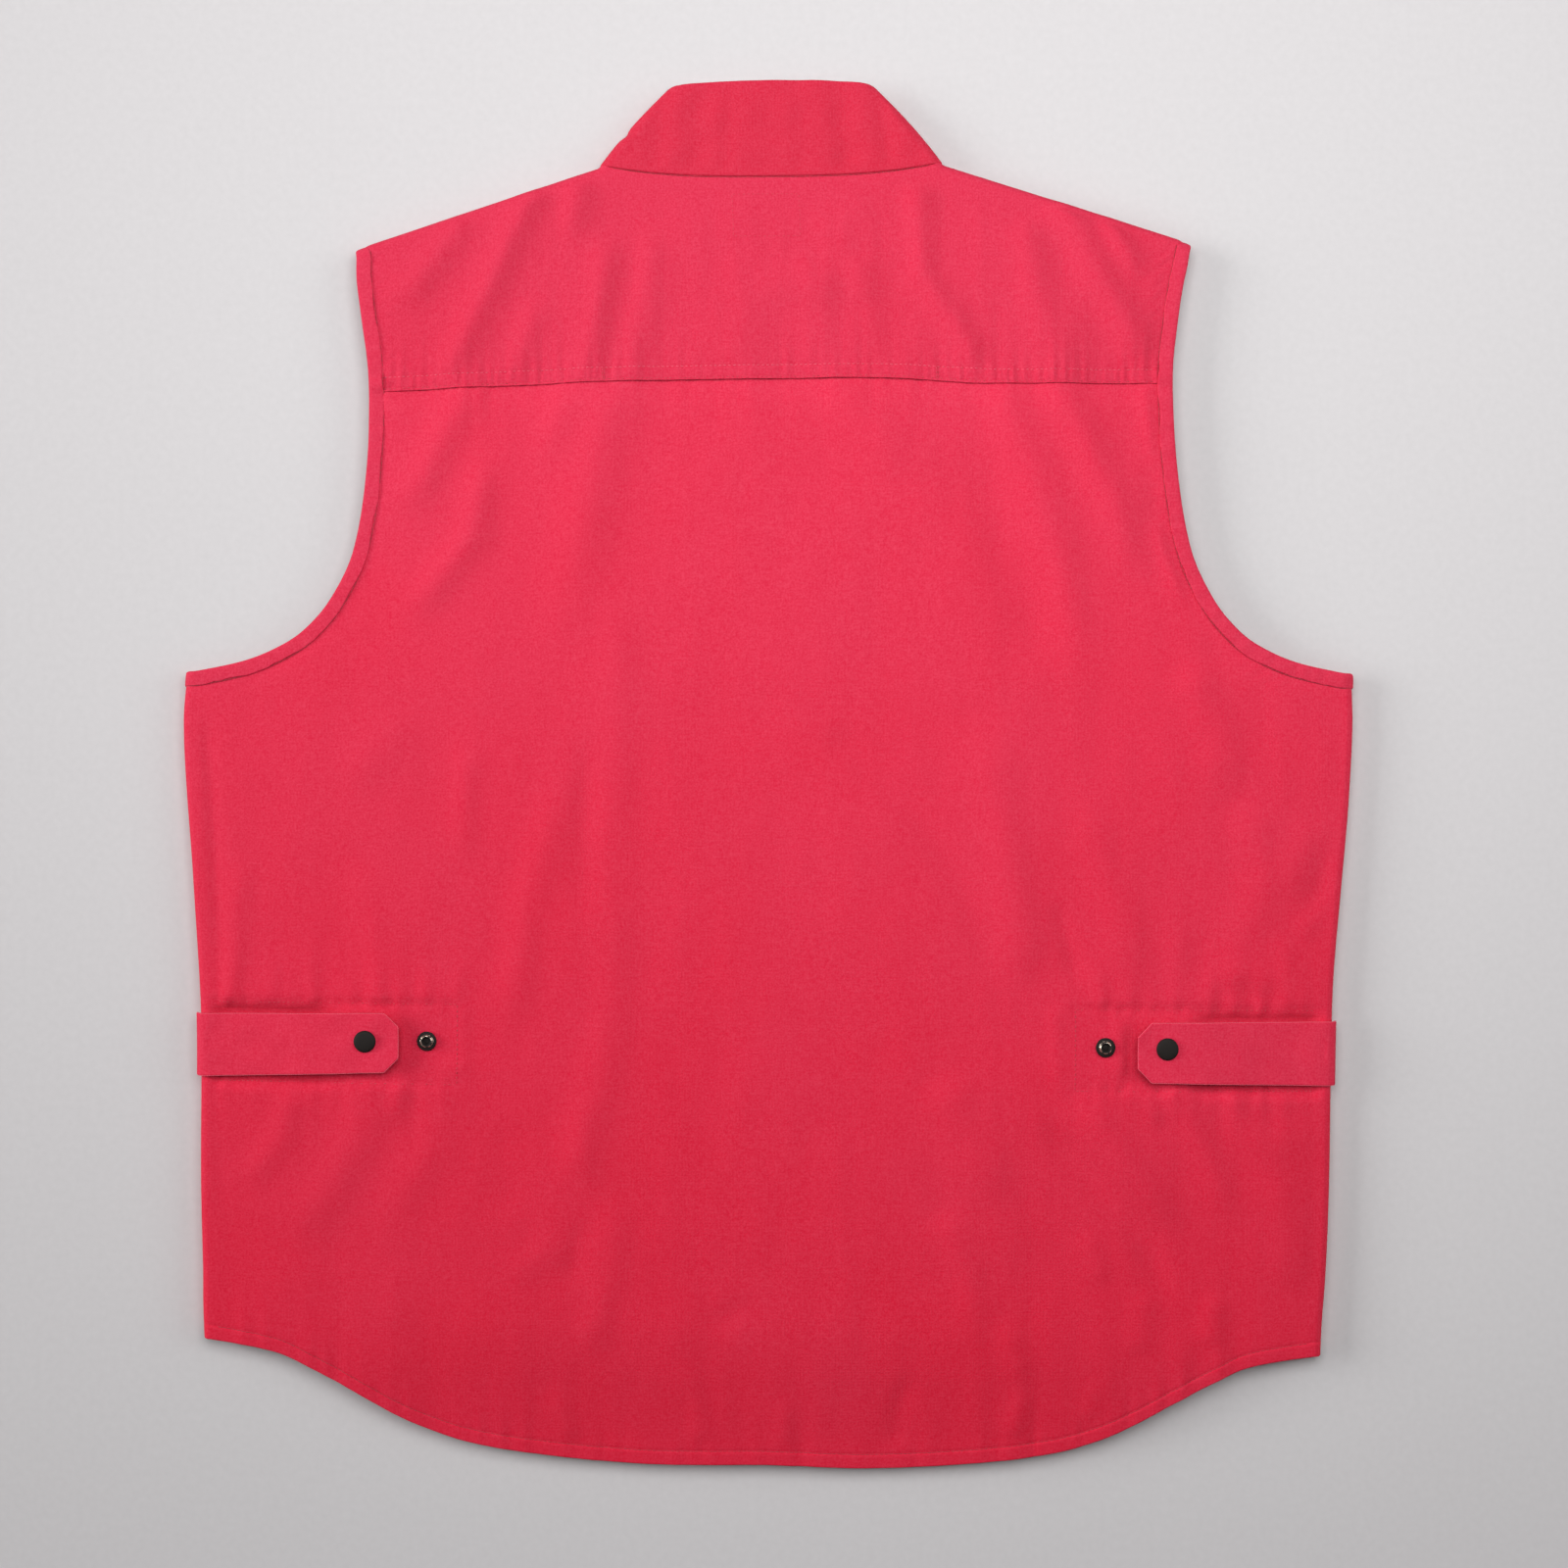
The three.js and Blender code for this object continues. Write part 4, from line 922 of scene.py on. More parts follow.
def front_panel(side):
    """One front, flat on the floor, with its hem turned in and its outer edges rolled up."""
    cloth = Cloth()
    corner_x, corner_y = FRONT_ARMHOLE[CORNER]
    top_centre = roll_centre(ARMPIT_Y)
    corner_share = corner_x / top_centre
    inner_shares = np.linspace(0, corner_share, FRONT_COLUMNS["inner"])
    outer_shares = np.linspace(corner_share, 1, FRONT_COLUMNS["outer"])
    shares = np.concatenate([inner_shares, outer_shares[1:]])
    low = HEM(shares * roll_centre(HEM_CORNER_Y)) + FRONT_HEM_SHORT
    across = shares * top_centre
    high = np.where(across > corner_x, FRONT_HEIGHT_AT(across), corner_y)
    y = grid_rows(low, high, **FRONT_ROWS)
    x = mix(FRONT_EDGE, roll_centre(y), shares)
    flat = points_of(x, y, front_height(x, y) - groove("hem", y - low - HEM_WIDTH))
    low_block = np.concatenate([flat, side_roll(flat[:, -1], 1)], 1)
    roll_facing = points_of(np.cos(ROLL_ANGLES), 0, -np.sin(ROLL_ANGLES))
    facing = np.concatenate([np.tile(-UP, (len(shares), 1)), roll_facing])
    flap = low_block[FRONT_ROWS["near"].index(HEM_WIDTH)]
    under = turned_edge(low_block[0], facing, HEM_TURN, flap)
    low_grid = np.concatenate([cloth.add(under[:-1]), cloth.add(low_block)])
    cloth.join(low_grid)

    # Upper block: inner ends up the front edge and round the neckline, outer ends up the armhole
    out = shoulder_out(1)
    neck_end = np.array([SHOULDER_START, shoulder_y(SHOULDER_START)]) - ROLL_INSET * out
    tip_x = FRONT_ARMHOLE[-1][0]
    tip_end = np.array([tip_x, shoulder_y(tip_x)]) - ROLL_INSET * out
    t = np.linspace(0, 1, FRONT_UPPER_ROWS)[1:]
    u = np.clip(2 * (1 - t), 0, 1)
    straight = np.stack([np.full(len(t), FRONT_EDGE), mix(corner_y, FRONT_NECK_Y, np.clip(2 * t, 0, 1))], -1)
    round_neck = mix(neckline(u), neck_end, (smooth(FRONT_NECK_BENDS, 0, u) ** 2)[:, None])
    inner = np.where((t > 0.5)[:, None], round_neck, straight)
    outer_y = mix(corner_y, tip_end[1], t)
    outer_x = np.where(t >= 1, tip_end[0], FRONT_HALF_AT(outer_y))
    outer = np.stack([outer_x, outer_y], -1)
    middle = shares < corner_share + SAME
    share = (shares[middle] / corner_share)[:, None]
    plan = inner[:, None] + (outer - inner)[:, None] * share
    upper = points_of(plan[..., 0], plan[..., 1], front_height(plan[..., 0], plan[..., 1]))
    ends = [upper]
    for angle in ROLL_ANGLES:
        rise = (SEAM_Z - upper[-1:, :, 2:]) * (1 - math.sin(angle))
        reach = np.append(ROLL * math.cos(angle) * out, 0)
        ends.append(upper[-1:] + reach + rise * UP)
    columns = np.concatenate([middle, np.zeros(len(ROLL_ANGLES), bool)])
    upper_grid = np.concatenate([low_grid[-1:, columns], cloth.add(np.concatenate(ends))])
    cloth.join(upper_grid)
    outside = low_grid.shape[1] - middle.sum()
    edge_chain = np.concatenate([low_grid[-1, ::-1][:outside], upper_grid[:, -1]])
    cloth.blocks = [block * [side, 1, 1] for block in cloth.blocks]
    if side < 0:
        cloth.turn_over()
    return cloth, edge_chain


def over_fold(plan, fold, high, low):
    """Height of cloth that turns over the collar's fold, from its distance to the fold line in plan."""
    near = np.clip((fold - plan) @ collar_out(1) / ROLL, 0, 1)
    return mix((high + low) / 2, high, np.sqrt(1 - (1 - near) ** 2))


def collar_middle(t):
    """Middle of the collar's cloth at heights t: front halves on the floor, two rolls, back half on top."""
    floor = COLLAR_CLOTH / 2
    level = floor + 2 * ROLL - COLLAR_TOP_DROP
    turn = 1 - np.cos(np.linspace(0, math.pi / 2, COLLAR_STEPS["turn"]))
    rows = []
    for share in t:
        halves = {}
        for side in (-1, 1):
            fold = collar_fold(share, side)
            roll = ROLL / (fold[0] * collar_out(1)[0])
            flat = np.linspace(0, 1 - roll, COLLAR_STEPS["back"])
            s = np.concatenate([flat[:-1], 1 - roll * turn[::-1]])
            seam = mix(COLLAR_BASE_Y, NECK[1], s ** SEAM_RISE_POWER)
            corner_drop = COLLAR_TOP_Y - RIM_BOW - COLLAR_CORNER[1]
            rim = COLLAR_TOP_Y - RIM_BOW * s ** 2 - corner_drop * s ** RIM_CORNER_POWER
            at_fold = fold[1] - mix(NECK[1], COLLAR_CORNER[1], share)
            plan = np.stack([s * fold[0], mix(seam, rim, share) + at_fold * s ** FOLD_PULL_POWER], -1)
            high = mix(back_base(plan[:, 0], neck_seam_y(plan[:, 0])), level, share)
            back = points_of(side * plan[:, 0], plan[:, 1], over_fold(plan, fold, high, floor))

            level_part = np.linspace(COLLAR_FRONT_FROM, 1, COLLAR_STEPS["front"])
            u = np.concatenate([ROLL / (3 * NECKLINE_REACH) * turn, level_part])
            low_curve = collar_curve(collar_fold(0, side), NECKLINE_REACH, FRONT_NECK_Y, u)
            rim_curve = collar_curve(collar_fold(1, side), COLLAR_RIM_REACH, FRONT_COLLAR_Y, u)
            plan = mix(low_curve, rim_curve, share)
            plan = plan + (fold - plan[0]) * ((1 - u) ** FOLD_PULL_POWER)[:, None]
            front = points_of(side * plan[:, 0], plan[:, 1], over_fold(plan, fold, floor, high[-1]))
            halves[side] = np.concatenate([back, front[1:]])
        rows.append(np.concatenate([halves[-1][:0:-1], halves[1]]))
    return np.array(rows)


def collar_dents(x, t):
    """Depth of the collar's soft upright dents, fading at its upper rim."""
    depth = np.zeros(np.shape(x))
    for at, half, deep in COLLAR_DENTS:
        depth = depth + deep * np.exp(-(((x - at * mix(1, DENTS["lean"], t)) / half) ** 2))
    uneven = DENTS["uneven"] * crumple(x, DENTS["stretch"] * t, DENTS["wavelength"], SEED + 30)
    return (depth * mix(1, DENTS["at_rim"], t) + uneven) * smooth(0, DENTS["from_seam"], t)


def collar():
    """Stand collar folded flat: both faces of its band, with round rims and closed front ends."""
    cloth = Cloth()
    half = COLLAR_CLOTH / 2
    height = np.linalg.norm(COLLAR_CORNER - NECK)
    t = np.linspace(half / height, 1 - half / height, COLLAR_STEPS["high"])
    middle = collar_middle(t)
    across = np.gradient(middle, axis=0)
    along = np.gradient(middle, axis=1)
    facing = unit(np.cross(along, across))
    up = unit(across)
    on_back = (middle[..., 2] > SEAM_Z) & (facing[..., 2] > COLLAR_ON_TOP)
    dents = np.where(on_back, collar_dents(middle[..., 0], t[:, None]), 0)
    middle = middle - dents[..., None] * facing
    arcs = np.linspace(90, -90, COLLAR_STEPS["rim"])[1:-1]
    rows = [*(middle + half * facing)]
    for angle in np.radians(arcs):
        rows.append(middle[-1] + half * (math.sin(angle) * facing[-1] + math.cos(angle) * up[-1]))
    rows.extend((middle - half * facing)[::-1])
    for angle in np.radians(arcs[::-1]):
        rows.append(middle[0] + half * (math.sin(angle) * facing[0] - math.cos(angle) * up[0]))
    grid = cloth.add(np.array(rows))
    cloth.join(np.concatenate([grid, grid[:1]]))
    ends = [grid[:, 0], grid[::-1, -1]]
    return cloth.points(), [*cloth.quads(), *ends]


def resampled(path, step, closed=True):
    """Points of a path at even steps along it."""
    loop = np.concatenate([path, path[:1]]) if closed else path
    spans = np.linalg.norm(np.diff(loop[:, :3], axis=0), axis=1)
    at = np.concatenate([[0], np.cumsum(spans)])
    count = max(int(round(at[-1] / step)), 3)
    where = np.linspace(0, at[-1], count + 1)
    where = where[:-1] if closed else where
    return np.stack([np.interp(where, at, loop[:, i]) for i in range(loop.shape[1])], -1)


def softened(path, times):
    """A closed path with its small steps averaged out."""
    for _ in range(times):
        path = (np.roll(path, 1, 0) + 2 * path + np.roll(path, -1, 0)) / 4
    return path


# The binding's section: distance in from the cut edge and height over the middle of the cloth
BINDING_HALF = [
    (6.9, 0.1), (7.14, 0.5), (7.0, 0.8), (6.6, 0.92), (6.0, 0.94), (5.4, 0.98), (4.5, 1.04), (3.0, 1.1),
    (1.4, 1.16), (0.2, 1.12), (-0.6, 0.92), (-1.1, 0.5), (-1.3, 0.0),
]
BINDING_STITCH = (7.25, 0.44)

# Waves of the binding: height and wavelength
BINDING_WAVES = {"long": (0.22, 28), "short": (0.1, 9), "puffed": (0.1, 10)}


def binding_frames(chains, side):
    """Even stations round an armhole, each with its place, the way into the cloth and the way off it."""
    places = np.concatenate([cloth.points()[edge] for cloth, edge, _ in chains])
    facing = np.concatenate([cloth.normals()[edge] * way for cloth, edge, way in chains])
    path = softened(resampled(np.concatenate([places, facing], 1), BINDING_STEP), 3)
    at, normal = path[:, :3], unit(path[:, 3:])
    tangent = unit(np.roll(at, -1, 0) - np.roll(at, 1, 0))
    inward = unit(np.cross(normal, tangent)) * side
    return at, inward, unit(np.cross(tangent, inward)) * side


def binding(frames, seed):
    """Binding folded over the cut edge of one armhole, with slightly wavy sewn edges."""
    cloth = Cloth()
    at, inward, off = frames
    along = np.arange(len(at)) * BINDING_STEP
    long, short, puffs = (
        height * pucker(along, wavelength, seed + number)
        for number, (height, wavelength) in enumerate(BINDING_WAVES.values())
    )
    wavy = long + short
    puffed = 1 + puffs
    section = BINDING_HALF + [(a, -h) for a, h in BINDING_HALF[-2::-1]]
    rows = []
    for reach, height in section:
        shift = reach + wavy * smooth(0, BINDING_WIDTH, reach)
        rows.append(at + inward * shift[:, None] + off * (height * puffed)[:, None])
    grid = cloth.add(np.array(rows))
    cloth.join(np.concatenate([grid, grid[:, :1]], 1))
    return cloth


def pillow(middle, facing, thickness, soft):
    """Both faces of a double cloth whose edges are rounded off over a soft width."""
    rows, columns = middle.shape[:2]
    across = np.linalg.norm(np.diff(middle, axis=1), axis=2)
    along = np.linalg.norm(np.diff(middle, axis=0), axis=2)
    from_left = np.concatenate([np.zeros((rows, 1)), np.cumsum(across, 1)], 1)
    from_end = np.concatenate([np.zeros((1, columns)), np.cumsum(along, 0)])
    edge = np.minimum.reduce([from_left, from_left[:, -1:] - from_left, from_end, from_end[-1:] - from_end])
    inside = np.clip(edge / soft, 0, 1)
    half = thickness / 2 * np.sqrt(1 - (1 - inside) ** 2)
    cloth = Cloth()
    for way in (1, -1):
        grid = cloth.add(middle + way * half[..., None] * facing)
        cloth.join(grid if way > 0 else grid[:, ::-1])
    return cloth


def edge_crowded(count):
    """Shares from -1 to 1 that lie closer together at both ends."""
    return np.sin(np.linspace(-math.pi / 2, math.pi / 2, count))


def side_tab(side):
    """Waist tab from the side seam over the fold, rising to its snap, with a clipped tip."""
    across = edge_crowded(TAB_STEPS["across"])
    centre = roll_centre(TAB_Y)
    lies = TAB_LIES[side]
    tip = TAB_TIP - lies["longer"]
    over_roll = np.radians(np.linspace(TAB_ROOT_TURN, 90, TAB_STEPS["root"])[:-1])
    x_rows = np.concatenate([
        np.linspace(centre, tip + TAB_CHAMFER, TAB_STEPS["length"]),
        np.linspace(tip + TAB_CHAMFER, tip + TAB_TIP_ROWS[0], TAB_STEPS["tip"])[1:],
        tip + np.array(TAB_TIP_ROWS[1:]),
    ])
    rows = []
    for angle in over_roll:
        y = TAB_Y + lies["root_up"] + across * TAB_WIDTH / 2
        rise = back_base(centre, y) - SEAM_Z + TAB_ROOT_LIFT
        x = roll_centre(y) + (ROLL + TAB_ROOT_LIFT) * math.cos(angle)
        rows.append(points_of(side * x, y, SEAM_Z + rise * math.sin(angle)))
    for x in x_rows:
        share = (centre - x) / (centre - tip)
        clipped = max(tip + TAB_CHAMFER - x, 0)
        half = (TAB_WIDTH - TAB_TIP_NARROWER * share) / 2 - clipped
        y = TAB_Y + mix(lies["root_up"], lies["tip_up"], share) + across * half
        lift = mix(TAB_ROOT_LIFT, TAB_SNAP_LIFT, smooth(*TAB_RISES_OVER, x))
        curl = TAB_CURL * across ** 2 * smooth(tip + TAB_CURLS_OVER, tip, x)
        uneven = TAB_UNEVEN["height"] * crumple(x + 0 * y, y, TAB_UNEVEN["wavelength"], SEED + 40 + side)
        rows.append(points_of(side * x, y, back_base(side * x, y) + lift + curl + uneven))
    middle = np.array(rows)
    facing = unit(np.cross(np.gradient(middle, axis=1), np.gradient(middle, axis=0))) * side
    cloth = pillow(middle, facing, TAB_CLOTH, TAB_EDGE_SOFT)
    top = cloth.blocks[0].reshape(middle.shape)
    last = len(rows) - 1 - TAB_EDGE_ROWS
    rim = np.concatenate([
        top[:last, TAB_EDGE_COLUMN],
        top[last, TAB_EDGE_COLUMN:-TAB_EDGE_COLUMN],
        top[last::-1, -1 - TAB_EDGE_COLUMN],
    ])
    if side < 0:
        cloth.turn_over()
    return cloth, rim


def front_closure():
    """Plain strip inside the fronts that holds them together along the front edges."""
    low = HEM(0.0) + FRONT_HEM_SHORT + HEM_WIDTH + STRIP_ENDS["over_hem"]
    y = np.linspace(low, FRONT_NECK_Y - STRIP_ENDS["below_neck"], STRIP_STEPS["length"])
    x = edge_crowded(STRIP_STEPS["across"]) * STRIP_HALF
    return pillow(points_of(x, y[:, None], STRIP_Z), UP, CLOTH, STRIP_EDGE_SOFT)


# Sewing threads: place along one stitch, then thickness and lift as shares of half the thread
STITCH_FORM = [
    (-0.5, 0.2, -0.5), (-0.42, 0.75, -0.1), (-0.2, 1, 0.15),
    (0.2, 1, 0.15), (0.42, 0.75, -0.1), (0.5, 0.2, -0.5),
]
THREAD_SIDES = 6
STITCH_TILT = 0.04


def thread_form():
    """One stitch along +X: rings of a thread that dips in at both ends, and the quads between them."""
    turns = np.linspace(0, 2 * math.pi, THREAD_SIDES, endpoint=False)
    rings = []
    for along, thick, lift in STITCH_FORM:
        y = THREAD_HALF * thick * np.cos(turns)
        z = THREAD_HALF * (thick * np.sin(turns) + lift)
        rings.append(points_of(along, y, z))
    grid = np.arange(len(rings) * THREAD_SIDES).reshape(len(rings), THREAD_SIDES)
    around = np.concatenate([grid, grid[:, :1]], 1)
    corners = (around[:-1, :-1], around[1:, :-1], around[1:, 1:], around[:-1, 1:])
    return np.concatenate(rings), np.stack(corners, -1).reshape(-1, 4)


def stitches(lines, seed, cover=STITCH_COVER, pitch=STITCH_PITCH):
    """Stitches that cover that share of lines of surface points, each line with the way off its surface."""
    form, quads = thread_form()
    form = form * [cover * pitch, 1, 1]
    random = np.random.default_rng(seed)
    points, faces, count = [], [], 0
    for line, off in lines:
        path = resampled(np.concatenate([line, np.broadcast_to(off, line.shape)], 1), pitch, False)
        middle = (path[:-1, :3] + path[1:, :3]) / 2
        along = unit(path[1:, :3] - path[:-1, :3])
        up = unit(path[:-1, 3:] + path[1:, 3:])
        across = unit(np.cross(up, along) + random.normal(0, STITCH_TILT, along.shape))
        axes = np.stack([along, across, unit(np.cross(along, across))], 1)
        placed = np.einsum("ka,nac->nkc", form, axes) + middle[:, None]
        points.append(placed.reshape(-1, 3))
        numbers = count + len(form) * np.arange(len(middle))
        faces.append((quads + numbers[:, None, None]).reshape(-1, 4))
        count += placed.shape[0] * placed.shape[1]
    return np.concatenate(points), np.concatenate(faces)


def line_on(height, x, y, lift=ROW_LIFT):
    x, y = np.broadcast_arrays(np.asarray(x, float), np.asarray(y, float))
    return points_of(x, y, height(x, y) + lift), UP


def yoke_line(row, lift=ROW_LIFT):
    """One of the two rows along the yoke's lower edge."""
    x = np.linspace(*ROW_RUNS["yoke"])
    return line_on(yoke_height, x, YOKE_EDGE(x) + YOKE_ROWS[row], lift)


def mark_lines():
    """Rows that hardly show: the yoke's lower row, the vent's tacks and the rectangle under the collar."""
    lines = [yoke_line(0, 0)]
    for side in (-1, 1):
        at = side * (VENT_HALF + TACK["beyond_vent"])
        y = YOKE_EDGE(at) + np.linspace(*YOKE_ROWS, TACK["points"])
        lines.extend(line_on(yoke_height, at + shift, y) for shift in TACK["shifts"])
    (left, right), (low, high) = NECK_MARK["x"], NECK_MARK["y"]
    corners = [(left, low), (right, low), (right, high), (left, high), (left, low)]
    t = np.linspace(0, 1, NECK_MARK["points"])
    for (ax, ay), (bx, by) in zip(corners, corners[1:]):
        lines.append(line_on(yoke_height, mix(ax, bx, t), mix(ay, by, t), NECK_MARK["lift"]))
    return lines


def collar_seam_line():
    x = np.linspace(*ROW_RUNS["neck"])
    return [line_on(yoke_height, x, neck_seam_y(x) - NECK_ROW["below_seam"], NECK_ROW["lift"])]


def hem_line():
    x = np.linspace(*ROW_RUNS["hem"])
    return [line_on(body_height, x, HEM(np.abs(x)) + HEM_WIDTH)]


def patch_lines():
    """The rows of the waist patches."""
    lines = []
    for side in (-1, 1):
        x = side * np.linspace(*ROW_RUNS["patch"])
        lines.extend(line_on(body_height, x, y) for y in PATCH_LINES_Y.values())
        y = np.linspace(PATCH_LINES_Y["below"], PATCH_LINES_Y["above"], UPRIGHT_POINTS["patch"])
        lines.append(line_on(body_height, side * PATCH_FROM_X, y))
    return lines


def front_lines(side):
    """Rows along a front's hem and front edge, on its outer face."""
    x = side * np.linspace(*ROW_RUNS["front_hem"])
    hem_y = HEM(np.abs(x)) + FRONT_HEM_SHORT + HEM_WIDTH - FRONT_ROW["below_hem_edge"]
    low, high = HEM(0.0) + FRONT_ROW["over_hem"], FRONT_NECK_Y - FRONT_ROW["below_neck"]
    y = np.linspace(low, high, UPRIGHT_POINTS["front"])
    edge_x = np.full(len(y), side * FRONT_ROW["from_edge"])
    places = [(x, hem_y), (edge_x, y)]
    return [(points_of(px, py, front_height(px, py) + FRONT_ROW["lift"]), -UP) for px, py in places]


# Snaps, turned about their own axis: radius and height over the middle of the back's cloth
CAP_PROFILE = [
    (0, 3.4), (3.0, 3.4), (3.3, 3.2), (3.3, 1.9), (5.0, 1.9), (5.3, 2.2), (5.3, 3.8), (5.0, 4.1), (1.6, 4.1),
    (1.6, 6.3), (5.7, 6.3), (6.05, 6.45), (6.2, 6.75), (6.1, 7.05), (5.7, 7.4), (5.0, 7.66), (4.0, 7.86),
    (2.6, 8.0), (1.2, 8.08), (0, 8.1),
]
STUD_BASE = [
    (0, -1.75), (4.0, -1.75), (4.2, -1.55), (4.2, -1.0), (1.6, -0.95), (1.6, 0.95), (5.2, 0.95), (5.45, 1.05),
    (5.5, 1.2), (5.35, 1.4), (4.9, 1.55), (4.1, 1.62), (3.7, 1.66),
]
STUD_RING = [(3.7, 1.66), (3.5, 1.9), (3.4, 2.4), (3.25, 2.75), (3.05, 2.93), (2.85, 3.0)]
STUD_HOLLOW = [
    (2.85, 3.0), (2.4, 2.95), (2.15, 2.7), (2.0, 2.2), (1.8, 1.6), (1.5, 1.45), (1.25, 1.7), (0.7, 1.78),
    (0, 1.7),
]
SNAP_SIDES = 48
SNAP_WELD = 2e-6


def snap(name, profiles, materials, x, slot, node):
    """A turned snap half of one or more finishes, standing square on the back."""
    y = SNAP_Y + SNAP_SITS_UP
    at = points_of(x, y, back_base(x, y) + snap_lift(x, y))
    turns = np.linspace(0, 2 * math.pi, SNAP_SIDES + 1)
    cloth = Cloth()
    finishes = []
    for number, profile in enumerate(profiles):
        rings = [points_of(r * np.cos(turns), r * np.sin(turns), z) for r, z in profile]
        grid = cloth.add(np.array(rings) + at)
        cloth.join(grid)
        finishes.extend([number] * len(cloth.faces[-1]))
    made = piece(name, *cloth.form(), materials[0], slot, node)
    for material in materials[1:]:
        made.data.materials.append(material)
    made.data.polygons.foreach_set("material_index", finishes)
    return weld(made, SNAP_WELD)


def snap_lift(x, y):
    """A spare stud sits on the loose cloth beside the tab, a closed one on the flat patch under it."""
    return 0.0 if abs(x) > TAB_TIP else float(cloth_relief(np.array([x]), np.array([y]))[0])


# Finishes


def linear(code):
    """An sRGB hex colour as linear red, green, blue and a full alpha."""
    values = [int(code[i:i + 2], 16) / 255 for i in (1, 3, 5)]
    return [v / 12.92 if v <= 0.04045 else ((v + 0.055) / 1.055) ** 2.4 for v in values] + [1.0]


def add(tree, kind, inputs=None, **settings):
    """Adds a node: settings are its own properties, inputs are values or other nodes' sockets."""
    made = tree.nodes.new(kind)
    for name, value in settings.items():
        setattr(made, name, value)
    for socket, value in (inputs or {}).items():
        if isinstance(value, bpy.types.NodeSocket):
            tree.links.new(value, made.inputs[socket])
        else:
            made.inputs[socket].default_value = value
    return made


def start(name):
    """A new material without nodes, its tree, and the place on the piece in metres."""
    material = bpy.data.materials.new(name)
    material.use_nodes = True
    material.node_tree.nodes.clear()
    return material, material.node_tree, add(material.node_tree, "ShaderNodeTexCoord").outputs["Object"]


def speckled(tree, place, size, detail, dark, light):
    """Specks of a real size: how strong each place has them, and two colours mixed by them."""
    noise = {"Vector": place, "Scale": 1 / size, "Detail": detail}
    specks = add(tree, "ShaderNodeTexNoise", noise).outputs["Fac"]
    colours = {"Factor": specks, 6: linear(dark), 7: linear(light)}
    return specks, add(tree, "ShaderNodeMix", colours, data_type="RGBA").outputs[2]


def ended(material, tree, looks):
    """The material, with one surface of these looks as its end."""
    surface = add(tree, "ShaderNodeBsdfPrincipled", looks)
    add(tree, "ShaderNodeOutputMaterial", {"Surface": surface.outputs["BSDF"]})
    return material


# The plain weave: real threads lie about 0.45 mm apart, drawn twice as coarse so that the grain shows
THREAD_SPACING = 0.9 * MM
SLUB_LENGTH = 4 * MM
FADE_PATCH = 90 * MM
# Heights between which the colour goes from its deeper red to its paler pink: painted shade towards the hem,
# painted light towards the shoulders
PAINTED_LIGHT_LOW = -390 * MM
PAINTED_LIGHT_HIGH = 300 * MM
NUB = 1.0 * MM
WAVE_PERIOD = 2 * math.pi / 20
GRAIN_RANGE = (1.45, 2.55)
FADE_RANGE = (0.3, 0.7)
FADE_UNEVEN = 0.15
COTTON_ROUGH = (0.82, 0.7)
WEAVE_BUMP = {"Strength": 0.4, "Distance": 0.12 * MM}


